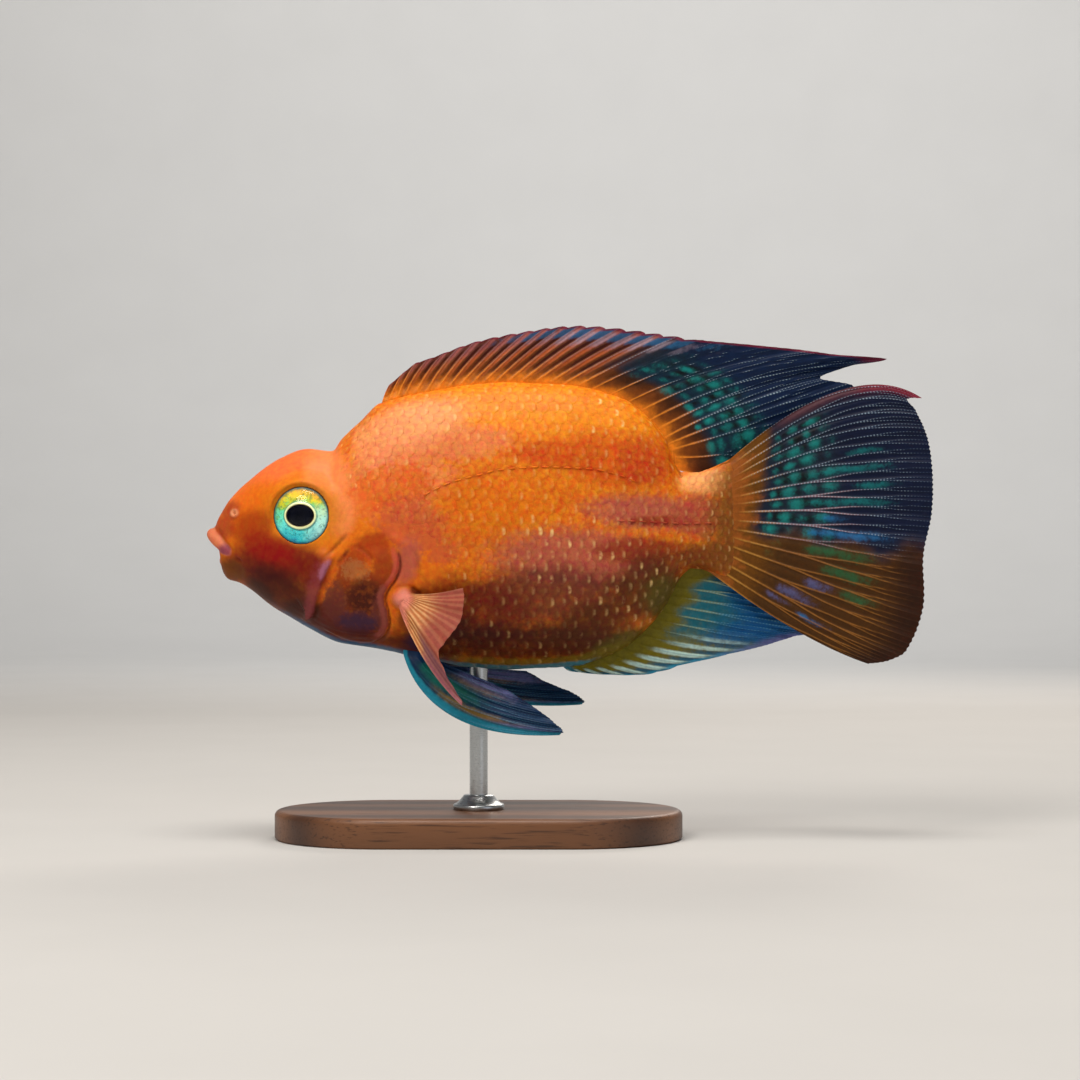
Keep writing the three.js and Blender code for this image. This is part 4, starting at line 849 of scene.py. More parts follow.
# Fins. A key ray is its number, root, bend and tip; the rays between are drawn smoothly.
fins = {
    "dorsal": {
        "spines": 18, "lastRay": 28, "cells": 14, "rows": 86, "sink": (0, 0, -3), "ruffle": 0.3,
        "keyRays": [
            (0, (48.4, 0, 37.7), (49, 0, 40.2), (50.3, 0, 42.6)),
            (2, (52.6, 0, 38.9), (54, 0, 43.4), (57.4, 0, 48.5)),
            (3, (54.7, 0, 39.3), (56.7, 0, 45.1), (61.1, 0, 49.8)),
            (6, (63.5, 0, 41), (67.7, 0, 48.1), (74, 0, 54.5)),
            (9, (72.6, 0, 42.4), (80, 0, 50.6), (88.6, 0, 57.5)),
            (12, (82.8, 0, 43.2), (92.1, 0, 52), (102.9, 0, 59)),
            (15, (94.1, 0, 42.9), (105.6, 0, 50.9), (119.4, 0, 57.5)),
            (18, (106.2, 0, 41.5), (122.1, 0, 49.7), (136.7, 0, 55)),
            (20, (116.1, 0, 38), (137.3, 1, 48.6), (163.5, 2, 52.5)),
            (21, (119.4, 0, 35.5), (145.5, 1, 49.2), (173.2, 2.5, 51.2)),
            (22, (122.1, 0, 33), (149.7, 1.5, 48.5), (187.7, 3.5, 50)),
            (23, (124.3, 0, 30.5), (150, 1.5, 45), (177.5, 3.5, 47.9)),
            (24, (126, 0, 28.1), (149.3, 1, 40.4), (169.3, 3, 44.8)),
            (26, (128.2, 0, 24.9), (152.5, 1, 31.5), (179, 3, 41.2)),
            (27, (129, 0, 22.8), (146, 0.8, 22.0), (165.5, 2.5, 31.5)),
            (28, (129.8, 0, 19.3), (138, 0.3, 16.4), (149, 1.5, 20.5))]},
    "caudal": {
        "spines": 0, "lastRay": 16, "cells": 22, "rows": 120, "sink": (-4, 0, 0), "ruffle": 0.35,
        "gather": 0.25, "rootHalf": 2.1, "rootShare": 0.26, "dull": 0.85,
        "keyRays": [
            (0, (143.2, -2.3, 21.4), (176.9, -7, 51.3), (195.4, -12, 38.5)),
            (1, (143.7, -2.4, 19.8), (175, -7, 44.7), (191.3, -12, 38.2)),
            (2, (144.2, -2.4, 18.1), (173.7, -7, 39.5), (193.7, -12, 35.2)),
            (4, (144.2, -2.4, 14.8), (170.9, -7, 29.4), (197, -12, 27.6)),
            (6, (144, -2.4, 11.2), (170.9, -7, 18.5), (198.4, -12, 17.6)),
            (8, (143.7, -2.4, 7.4), (170.9, -7, 9), (198.1, -12, 7)),
            (10, (142.6, -2.3, 3.3), (170.9, -7, -1.4), (195.9, -12, -4.3)),
            (12, (141.2, -2.2, -0.5), (168.2, -7, -10.9), (195.8, -12, -18.3)),
            (14, (139.6, -2.1, -4.4), (166.8, -7, -21.3), (191.3, -11, -30.1)),
            (15, (138.5, -2, -6.3), (164.9, -7, -24.5), (186.3, -11, -32.8)),
            (16, (137.4, -2, -8), (162.2, -7, -27.3), (181, -10, -33.7))]},
    "anal": {
        "spines": 8, "lastRay": 16, "cells": 16, "rows": 70, "sink": (-1, 0, 3), "ruffle": 0.35,
        "keyRays": [
            (0, (98.2, 0, -34.7), (99, 0, -36), (100.9, 0, -36.2)),
            (2, (102.9, 0, -34.4), (105.1, 0, -36.3), (109.2, 0, -37)),
            (4, (108.9, 0, -33), (113.9, 0, -36), (121.6, 0, -36.9)),
            (6, (114.4, 0, -29.7), (122.7, 0, -33.8), (133.7, 0, -33.7)),
            (8, (119.4, 0, -25.9), (133.7, 1, -30.3), (148.1, 2, -30.6)),
            (10, (123.2, 0, -21.7), (140.6, 1, -25.9), (160, 3, -27.3)),
            (12, (126, 0, -17.6), (147.5, 1, -21.5), (166.9, 3, -24.6)),
            (14, (128.8, 0, -13), (144.7, 1, -14.6), (160.5, 3, -18.5)),
            (15, (131.4, 0, -10.4), (142.4, 0.7, -11.2), (155.4, 2.4, -16.0)),
            (16, (134.2, 0, -7.2), (141, 0.4, -7.8), (151, 1.8, -12.8))]},
    "pelvicLeft": {
        "spines": 0, "lastRay": 5, "cells": 20, "rows": 90, "sink": (0, 0.6, 4), "ruffle": 0.5,
        "keyRays": [
            (0, (54.7, -5, -31.2), (62.5, -11, -55), (97.2, -17, -52.3)),
            (1, (56.3, -5.5, -31.7), (64.8, -12, -49.3), (98.3, -18, -51.4)),
            (2, (58.3, -6, -32.2), (68, -12, -45.5), (96.2, -18, -49.5)),
            (3, (60.2, -6, -32.8), (70.7, -11, -42.1), (92.1, -17, -46.3)),
            (4, (62.1, -6, -33.3), (72.8, -10, -38.6), (87, -15, -42.9)),
            (5, (64, -6, -33.6), (73, -9, -36.6), (80.5, -13, -39))]},
    "pelvicRight": {
        "spines": 0, "lastRay": 5, "cells": 20, "rows": 90, "sink": (0, -0.6, 4), "ruffle": 0.5,
        "keyRays": [
            (0, (54.2, 5, -31.5), (66.8, 9, -47.8), (102.5, 13, -46.2)),
            (1, (55.9, 5.5, -32.1), (69.6, 10, -45.9), (104.4, 14, -45.3)),
            (2, (57.8, 6, -32.7), (72.4, 10, -43.4), (102.2, 14, -43.3)),
            (3, (59.7, 6, -33.2), (74.6, 10, -40.6), (97.7, 13, -41.3)),
            (4, (61.7, 6, -33.8), (75.7, 9, -38.4), (93, 12, -39.2)),
            (5, (63.6, 6, -34.1), (75.2, 8, -35.5), (88, 10, -36.2))]},
    "pectoral": {
        "spines": 0, "lastRay": 13, "cells": 14, "rows": 60, "sink": (-0.9, 3.9, 0.2), "ruffle": 0.15,
        "gather": 0.75, "rootHalf": 1.55, "rootShare": 0.3, "pleat": 0.34, "ridgeShare": 0.7, "forks": False,
        "keyRays": [
            (0, (55, -17, -14.3), (61, -20, -15.6), (71.3, -24, -12.8)),
            (3, (55.3, -17.4, -15.1), (62.7, -22, -17.1), (71.6, -27, -17.6)),
            (6, (55.3, -17.6, -15.9), (62.4, -23, -19.2), (69.6, -30, -23.6)),
            (8, (55, -17.6, -16.4), (60.9, -24, -21.4), (66.2, -32, -27.5)),
            (9, (54.9, -17.6, -16.8), (59.6, -25, -22.9), (64.9, -33, -29.8)),
            (10, (54.8, -17.6, -17.1), (59.9, -25.5, -25.1), (66.6, -35, -33.7)),
            (11, (54.6, -17.6, -17.4), (60.2, -26, -28), (69, -38, -38.6)),
            (12, (54.4, -17.5, -17.7), (60.7, -27, -31.4), (71.2, -41, -42.1)),
            (13, (54.1, -17.4, -18), (60.5, -28, -34.3), (71.5, -42, -43.3))]},
}
rightPectoral = {"pivot": (54.4, 17.2), "swing": -0.2}  # it lies closer to the body than the left one
finForm = {
    "membrane": 0.13, "membraneTip": 0.6, "rootHalf": 0.75, "rootShare": 0.3, "rootRound": 0.12,
    "ridge": 0.4, "ridgeFall": 0.55, "ridgeStart": 5, "spineWidth": (0.62, 0.3), "rayWidth": (0.36, 0.14),
    "firstFork": 0.235, "firstForkAt": (0.3, 0.62), "secondFork": 0.115, "secondForkAt": (0.62, 0.88),
    "forkSpread": 0.06, "notchSpiny": 0.04, "notchSoft": 0.006, "thinEdge": (0.94, 1.0), "edgeLoss": 0.45,
    "segment": 0.9, "rootRows": (1.0, 0.66, 0.33), "sharpAngle": 75}


def finGrid(fin):
    numbers = [key[0] for key in fin["keyRays"]]
    root, bend, tip = (smoothThrough(numbers, [key[which] for key in fin["keyRays"]]) for which in (1, 2, 3))
    ray = np.linspace(0, fin["lastRay"], fin["lastRay"] * fin["cells"] + 1)
    beside = ray - np.round(ray)
    spiny = np.zeros(len(ray))
    if fin["spines"]:
        spiny = smoothstep(fin["spines"] + 0.5, fin["spines"] - 0.5, ray)
    # The margin dips between spines, and a little between the branches of soft rays
    betweenBranches = 1 - np.abs(((ray * 4) % 1) - 0.5) * 2
    dip = lerp(betweenBranches, (np.abs(beside) * 2) ** 1.5, spiny)
    reach = 1 - lerp(finForm["notchSoft"], finForm["notchSpiny"], spiny) * dip
    along = np.linspace(0, 1, fin["rows"] + 1)
    s = (along[None, :] * reach[:, None])[..., None]
    root, bend, tip = (curve(ray)[:, None] for curve in (root, bend, tip))
    points = (1 - s) ** 2 * root + 2 * s * (1 - s) * bend + s ** 2 * tip
    return ray, along, beside, spiny, points


def rayCrests(fin, ray, t, beside, spiny, spacing):  # 1 along each spine and ray, 0 on the membrane
    # A soft ray forks twice between its root and its tip, a spine never does
    jitter = rng.uniform(-finForm["forkSpread"], finForm["forkSpread"], fin["lastRay"] + 1)
    place = t + np.interp(ray, np.arange(fin["lastRay"] + 1), jitter)[:, None]
    first = finForm["firstFork"] * smoothstep(*finForm["firstForkAt"], place)
    second = finForm["secondFork"] * smoothstep(*finForm["secondForkAt"], place)
    if not fin.get("forks", True):
        first, second = 0 * first, 0 * second
    width = fin["pleat"] * spacing if "pleat" in fin else lerp(*finForm["rayWidth"], t)
    crest = np.zeros(t.shape)
    for one, two in ((-1, -1), (-1, 1), (1, -1), (1, 1)):
        crest = np.maximum(crest, bell((beside - one * first - two * second) * spacing, width))
    return lerp(crest, bell(beside * spacing, lerp(*finForm["spineWidth"], t)), spiny)


def makeFin(name, fin, mirror=False):
    ray, along, beside, spiny, points = finGrid(fin)
    spacing = np.linalg.norm(np.gradient(points, axis=0), axis=2) * fin["cells"]
    steps = np.linalg.norm(np.diff(points, axis=1), axis=2)
    run = np.concatenate([np.zeros((len(ray), 1)), np.cumsum(steps, axis=1)], axis=1)
    t = np.broadcast_to(along[None, :], run.shape)
    crest = rayCrests(fin, ray, t, beside[:, None], spiny[:, None], spacing)
    # Half its thickness: a fleshy root, then a thin membrane with the rays standing out of it
    ridge = finForm["ridge"] * (1 - finForm["ridgeFall"] * t) * crest * fin.get("ridgeShare", 1)
    fleshy = 1 - smoothstep(0, fin.get("rootShare", finForm["rootShare"]), t)
    membrane = finForm["membrane"] * lerp(1, finForm["membraneTip"], t)
    half = lerp(membrane, fin.get("rootHalf", finForm["rootHalf"]), fleshy)
    half = half + ridge * np.minimum(1, finForm["ridgeStart"] * t)
    half = half * (1 - finForm["edgeLoss"] * smoothstep(*finForm["thinEdge"], t))
    if "rootShare" in fin:  # a thick root is round in section
        bow = np.sqrt(np.maximum(finForm["rootRound"], 1 - (2 * ray / fin["lastRay"] - 1) ** 2))
        half = half * lerp(1, bow[:, None], fleshy)
    # Mid surface, ruffled between the rays
    normal = np.cross(np.gradient(points, axis=1), np.gradient(points, axis=0))
    normal /= np.maximum(np.linalg.norm(normal, axis=2), 1e-9)[..., None]
    wave = np.cos(2 * math.pi * beside)[:, None] * fin["ruffle"] * t * (1 - 0.4 * t)
    wave = wave + 0.3 * t * np.sin(ray * 1.7)[:, None]
    middle = points + normal * wave[..., None]
    # Three rows lead from the root down into the flesh
    heart = middle[:, :1].mean(axis=0, keepdims=True)
    sunk = [lerp(middle[:, :1], heart, fin.get("gather", 0) * k ** 2) + np.array(fin["sink"]) * k
            for k in finForm["rootRows"]]
    middle = np.concatenate(sunk + [middle], axis=1)
    normal, half = padRoot(normal), padRoot(half)
    top = (middle + normal * half[..., None]).reshape(-1, 3)
    bottom = (middle - normal * half[..., None]).reshape(-1, 3)
    faces, edge = gridFaces(*middle.shape[:2]), gridBorder(*middle.shape[:2])
    nextEdge = np.roll(edge, -1)
    walls = np.stack([edge, edge + len(top), nextEdge + len(top), nextEdge], -1)
    points = np.vstack([top, bottom])
    faces = np.vstack([faces, faces[:, ::-1] + len(top), walls])
    # Outward faces: the enclosed volume has to be positive
    a, b, c, d = (points[faces[:, corner]] for corner in range(4))
    volume = np.einsum("ij,ij->", a, np.cross(b, c)) + np.einsum("ij,ij->", a, np.cross(c, d))
    if mirror:
        points = points * np.array([1, -1, 1])
        volume = -volume
    if volume < 0:
        faces = faces[:, ::-1]
    shine = smoothstep(3, 11, run) * (1 - fin.get("dull", 0) * smoothstep(9, 11, ray))[:, None]
    acrossRays = {"ray": ray, "beside": np.abs(beside) * 2}
    fields = {key: np.broadcast_to(values[:, None], run.shape) for key, values in acrossRays.items()}
    fields |= {"along": t, "crest": crest, "run": run, "shine": shine}
    fields = {key: np.tile(padRoot(grid).ravel(), 2) for key, grid in fields.items()}
    piece = newPiece(name, points, faces)
    piece.data.set_sharp_from_angle(angle=math.radians(finForm["sharpAngle"]))
    setFields(piece, fields)
    print(name, len(points), "vertices")
    return piece, fields, points


def padRoot(grid):  # repeats the first row for the three rows inside the flesh
    return np.concatenate([np.repeat(grid[:, :1], 3, axis=1), grid], axis=1)


# Materials
def linear(colour):  # an sRGB hex value as linear red, green, blue and alpha
    channels = [int(colour[i:i + 2], 16) / 255 for i in (1, 3, 5)]
    return tuple(c / 12.92 if c <= 0.04045 else ((c + 0.055) / 1.055) ** 2.4 for c in channels) + (1.0,)


def setInputs(tree, node, inputs):  # each input gets a value or a link
    for key, value in inputs.items():
        if isinstance(value, bpy.types.NodeSocket):
            tree.links.new(value, node.inputs[key])
        else:
            node.inputs[key].default_value = value


def add(tree, kind, inputs=None, **settings):  # a node with its settings and its inputs
    node = tree.nodes.new("ShaderNode" + kind)
    for name, value in settings.items():
        setattr(node, name, value)
    setInputs(tree, node, inputs or {})
    return node


def newMaterial(name):
    material = bpy.data.materials.new(name)
    material.use_nodes = True
    tree = material.node_tree
    tree.nodes.clear()
    shader = add(tree, "BsdfPrincipled")
    add(tree, "OutputMaterial", {"Surface": shader.outputs[0]})
    return material, tree, shader


# A coat: field, colour, how broken up its border is, size of the flecks there in mm, softness and strength
def paint(tree, where, colour, coats):
    flecks = {}
    for name, tint, broken, fleck, soft, strength in coats:
        if fleck not in flecks:
            flecks[fleck] = add(tree, "TexNoise", {"Vector": where, "Scale": 1 / (fleck * mm), "Detail": 3.0,
                                                   "Roughness": 0.55}).outputs[0]
        field = add(tree, "Attribute", attribute_name=name).outputs["Fac"]
        shift = add(tree, "Math", {0: flecks[fleck], 1: broken, 2: -0.5 * broken}, operation="MULTIPLY_ADD")
        near = add(tree, "MapRange", {"Value": field, "From Max": 0.3}).outputs[0]
        border = add(tree, "Math", {0: shift.outputs[0], 1: near, 2: field}, operation="MULTIPLY_ADD")
        mask = add(tree, "MapRange", {"Value": border.outputs[0], "From Min": max(0.02, 0.5 - soft),
                                      "From Max": 0.5 + soft, "To Max": strength},
                   interpolation_type="SMOOTHSTEP").outputs[0]
        colour = add(tree, "Mix", {0: mask, 6: colour, 7: linear(tint)}, data_type="RGBA").outputs[2]
    return colour


def mottle(tree, where, colour, size, amount):  # lighter and darker flecks
    lumps = add(tree, "TexNoise", {"Vector": where, "Scale": 1 / (size * mm), "Detail": 4.0,
                                   "Roughness": 0.6}).outputs[0]
    value = add(tree, "MapRange", {"Value": lumps, "From Min": 0.3, "From Max": 0.7,
                                   "To Min": 1 - amount, "To Max": 1 + amount}).outputs[0]
    return add(tree, "HueSaturation", {"Color": colour, "Value": value}).outputs[0]


# Living fish skin: wet mucus over translucent flesh, so it shines softly and light glows a little through it
def fishSkin(name, isScale):
    material, tree, shader = newMaterial(name)
    where = add(tree, "TexCoord").outputs["Object"]
    fine, coarse, patchy = (add(tree, "TexNoise", {"Vector": where, "Scale": 1 / (size * mm),
                                                   "Detail": 3.0}).outputs[0] for size in (0.35, 1.3, 2.6))
    colour = add(tree, "Mix", {0: patchy, 6: linear("#DC5606"), 7: linear("#F68C14")},
                 data_type="RGBA").outputs[2]
    colour = paint(tree, where, colour, [marking[:-1] for marking in markings])
    colour = mottle(tree, where, colour, 1.1, 0.13 if isScale else 0.07)
    swing = 0.012 if isScale else 0.005
    blush = add(tree, "MapRange", {"Value": coarse, "From Min": 0.3, "From Max": 0.7, "To Min": 0.5 - swing,
                                   "To Max": 0.5 + swing}).outputs[0]
    colour = add(tree, "HueSaturation", {"Color": colour, "Hue": blush}).outputs[0]
    if isScale:
        colour = scaleEdges(tree, colour, coarse)
    relief = add(tree, "Mix", {0: 0.5, 2: fine, 3: coarse}, data_type="FLOAT").outputs[0]
    setInputs(tree, shader, {
        "Base Color": colour,
        "Roughness": add(tree, "MapRange", {"Value": coarse, "To Min": 0.42, "To Max": 0.64}).outputs[0],
        "Normal": add(tree, "Bump", {"Strength": 0.5, "Distance": 0.14 * mm, "Height": relief}).outputs[0],
        "IOR": 1.34, "Specular IOR Level": 0.28, "Coat Weight": 0.05, "Coat Roughness": 0.24,
        "Subsurface Weight": 0.15, "Subsurface Radius": (1.0, 0.35, 0.15), "Subsurface Scale": 1.4 * mm})
    return material


# Painted shade where one scale comes out from under another, and a pale golden painted highlight along its
# free edge
def scaleEdges(tree, colour, coarse):
    rim, tint, glint, across = (add(tree, "Attribute", attribute_name=key).outputs["Fac"]
                                for key in ("rim", "tint", "glint", "across"))
    shade = add(tree, "MapRange", {"Value": tint, "To Min": 0.94, "To Max": 1.06}).outputs[0]
    # Painted shade on the front of the scale, just behind the edge of the one before
    under = add(tree, "MapRange", {"Value": rim, "From Min": 0.25, "From Max": 0.7, "To Min": 0.92,
                                   "To Max": 1.01}, interpolation_type="SMOOTHSTEP").outputs[0]
    shade = add(tree, "Math", {0: shade, 1: under}, operation="MULTIPLY").outputs[0]
    colour = add(tree, "HueSaturation", {"Color": colour, "Value": shade}).outputs[0]
    offMid = add(tree, "Math", {0: across}, operation="ABSOLUTE").outputs[0]
    # Painted highlight: pale gold along the middle of the free edge, strongest on scales that glint
    edgeHighlight, edge, behind = (add(tree, "MapRange", {"Value": field, "From Min": low, "From Max": high},
                              interpolation_type="SMOOTHSTEP").outputs[0]
                          for field, low, high in ((offMid, 0.7, 0.2), (rim, 0.74, 0.87), (rim, 0.99, 0.88)))
    ragged = add(tree, "MapRange", {"Value": coarse, "From Min": 0.3, "From Max": 0.62}).outputs[0]
    for factor in (edge, behind, ragged, glint):
        edgeHighlight = add(tree, "Math", {0: edgeHighlight, 1: factor}, operation="MULTIPLY").outputs[0]
    return add(tree, "Mix", {0: edgeHighlight, 6: colour, 7: linear("#FFD48C")}, data_type="RGBA").outputs[2]


# Fin tissue: thin wet membrane between bony rays, coloured by pigment cells that lie along the rays
def finTissue(name, base, coats, rayColour, rayStrength, jointHighlightColour, jointHighlightStrength):
    material, tree, shader = newMaterial(name)
    where = add(tree, "TexCoord").outputs["Object"]
    grain = add(tree, "TexNoise", {"Vector": where, "Scale": 1 / (0.4 * mm), "Detail": 3.0}).outputs[0]
    colour = paint(tree, where, linear(base), coats)
    colour = mottle(tree, where, colour, 1.1, 0.16)
    crest, run, soft, shine = (add(tree, "Attribute", attribute_name=key).outputs["Fac"]
                               for key in ("crest", "run", "soft", "shine"))
    line = add(tree, "MapRange", {"Value": crest, "From Min": 0.3, "From Max": 0.95, "To Max": rayStrength},
               interpolation_type="SMOOTHSTEP").outputs[0]
    line = add(tree, "Math", {0: line, 1: shine}, operation="MULTIPLY").outputs[0]
    colour = add(tree, "Mix", {0: line, 6: colour, 7: linear(rayColour)}, data_type="RGBA").outputs[2]
    # Soft rays are built of short joints, which catch the light one by one: a painted highlight on each
    # joint
    wave = add(tree, "Math", {0: run, 1: 2 * math.pi / finForm["segment"]}, operation="MULTIPLY").outputs[0]
    joint = add(tree, "Math", {0: wave}, operation="SINE").outputs[0]
    jointHighlight = add(tree, "MapRange", {"Value": joint, "From Min": -0.1, "From Max": 0.7}).outputs[0]
    top = add(tree, "MapRange", {"Value": crest, "From Min": 0.6, "From Max": 0.98,
                                 "To Max": jointHighlightStrength}).outputs[0]
    for factor in (soft, shine, top):
        jointHighlight = add(tree, "Math", {0: jointHighlight, 1: factor}, operation="MULTIPLY").outputs[0]
    colour = add(tree, "Mix", {0: jointHighlight, 6: colour, 7: linear(jointHighlightColour)}, data_type="RGBA").outputs[2]
    setInputs(tree, shader, {
        "Base Color": colour,
        "Normal": add(tree, "Bump", {"Strength": 0.35, "Distance": 0.1 * mm, "Height": grain}).outputs[0],
        "Roughness": 0.48, "IOR": 1.33, "Specular IOR Level": 0.28, "Coat Weight": 0.04,
        "Coat Roughness": 0.2, "Subsurface Weight": 0.1, "Subsurface Radius": (1.0, 0.5, 0.3),
        "Subsurface Scale": 0.6 * mm})
    return material


# Spots lie in rows between the rays: teal and dark ones by turns, those of neighbouring rows out of step
def spotRows(fields, seed, strips, firstRun, pairs, pitch, radius):
    draw = np.random.default_rng(seed)
    ray, run = fields["ray"], fields["run"]
    teal, ink = np.zeros(len(ray)), np.zeros(len(ray))
    for strip in range(*strips):
        start = firstRun(strip) + (strip % 2) * pitch * 0.5 + draw.uniform(-0.8, 0.8)
        stretch = pitch * draw.uniform(0.9, 1.12)
        for k in range(pairs):
            for spots, shift, grow in ((teal, 0, 1.15), (ink, 0.5, 1.3)):
                centre = start + (k + shift) * stretch * (1 + 0.04 * k) + draw.uniform(-0.16, 0.16) * pitch
                length = radius * grow * draw.uniform(0.6, 1.5) * (1 + 0.14 * k)
                across = (ray - strip - 0.5 - draw.uniform(-0.1, 0.1)) / draw.uniform(0.28, 0.5)
                blot = draw.uniform(0.4, 1.1) * bell(np.hypot(across, (run - centre) / length), 1.0)
                np.maximum(spots, blot, out=spots)
    return teal, ink


# Runs of spots grown together: ray, start and end along it, half its width in rays
def streakRows(fields, streaks):
    mask = np.zeros(len(fields["ray"]))
    for ray, start, end, half in streaks:
        run = fields["run"]
        length = smoothstep(start - 1.5, start + 2.5, run) * smoothstep(end + 3, end - 8, run)
        beat = 0.82 + 0.12 * np.cos((run - start - 2 * ray) * 1.4) + 0.12 * np.cos(run * 0.45 + 3 * ray)
        middle = (fields["ray"] - ray - 0.05 * np.sin(run * 0.5 + 5 * ray)) / half
        mask = np.maximum(mask, bell(middle, 1.0) * length * beat)
    return mask


def dorsalLooks(piece, fields):
    ray, t, crest, run = fields["ray"], fields["along"], fields["crest"], fields["run"]
    soft = smoothstep(15.0, 19.0, ray)
    teal, ink = spotRows(fields, 11, (17, 28), lambda strip: 10.0 + 0.15 * abs(strip - 23), 5, 3.9, 1.2)
    fade = smoothstep(31, 19, run) * smoothstep(17.0, 19.4, ray)
    # Behind each spine the membrane is pale, then olive, then dark red just before the next spine
    # These are partly the membrane's own colours: the pale stripe adds a painted highlight on each fold, the
    # dark line painted shade in the valley
    share = (ray + 0.12) % 1
    pale = smoothstep(0.0, 0.12, share) * smoothstep(0.66, 0.34, share)
    dark = smoothstep(0.62, 0.82, share) * smoothstep(1.0, 0.94, share)
    setFields(piece, {
        "soft": soft * smoothstep(5, 10, run),
        "water": soft * smoothstep(7.5, 12.5, run),
        "navy": soft * smoothstep(19, 30, run),
        "softGaps": soft * smoothstep(3.0, 7.5, run) * (1 - crest),
        "paleStripeAndHighlight": (1 - soft) * pale * smoothstep(0.0, 0.2, t),
        "darkLineAndShade": (1 - 0.6 * soft) * dark * smoothstep(0.1, 0.3, t) * smoothstep(1.0, 0.7, t),
        "mauveTip": (1 - soft) * smoothstep(0.45, 0.85, t) * lerp(0.45, 1, pale),
        "skyEdge": smoothstep(5, 12, ray) * smoothstep(20, 17, ray) * smoothstep(0.7, 0.86, t) * (1 - pale),
        "iceEdge": smoothstep(8, 13, ray) * smoothstep(20, 16, ray) * smoothstep(0.55, 0.75, t)
        * smoothstep(0.98, 0.85, t) * pale,
        "plumEdge": smoothstep(0.93, 0.985, t) * (1 - smoothstep(21.9, 22.5, ray)) + bell(ray - 22, 0.4)
        * smoothstep(0.86, 0.96, t),
        "tealSpots": teal * fade, "inkSpots": ink * fade,
        "goldRays": soft * crest ** 2 * smoothstep(16, 8, run),
        "ember": smoothstep(lerp(15, 12, soft), 1, run + 1.6 * np.sin(ray * 2.1)),
        "emberRays": crest ** 1.5 * smoothstep(15, 5, run),
        "rootGlow": smoothstep(lerp(8, 5.4, soft), -1.8, run + 0.8 * np.sin(ray * 2.9))})
    return finTissue("dorsalFinTissue", "#5E320E", [
        ("paleStripeAndHighlight", "#B85C2C", 0.6, 1.6, 0.5, 0.92), ("mauveTip", "#7C4450", 0.7, 1.6, 0.5, 0.7),
        ("darkLineAndShade", "#3C0A06", 0.6, 0.9, 0.4, 0.9), ("softGaps", "#2E1606", 0.6, 1.6, 0.5, 0.85),
        ("water", "#08283C", 0.5, 2.4, 0.5, 0.96), ("navy", "#061C40", 0.5, 2.4, 0.5, 0.9),
        ("skyEdge", "#28608E", 0.9, 1.6, 0.4, 0.85), ("iceEdge", "#9C8C9C", 0.9, 1.6, 0.45, 0.6),
        ("inkSpots", "#080306", 0.9, 0.9, 0.35, 0.92), ("tealSpots", "#128480", 0.9, 0.9, 0.5, 0.88),
        ("ember", "#7C3E0A", 0.8, 1.6, 0.6, 0.75), ("goldRays", "#9A5E1C", 0.3, 1.6, 0.45, 0.85),
        ("plumEdge", "#6E1830", 0.5, 1.6, 0.45, 0.85), ("rootGlow", "#EC881A", 0.6, 1.6, 0.6, 0.95),
        ("emberRays", "#E88A24", 0.9, 1.6, 0.5, 0.75)],
        "#4A6A84", 0.25, "#C4DCE8", 0.6)


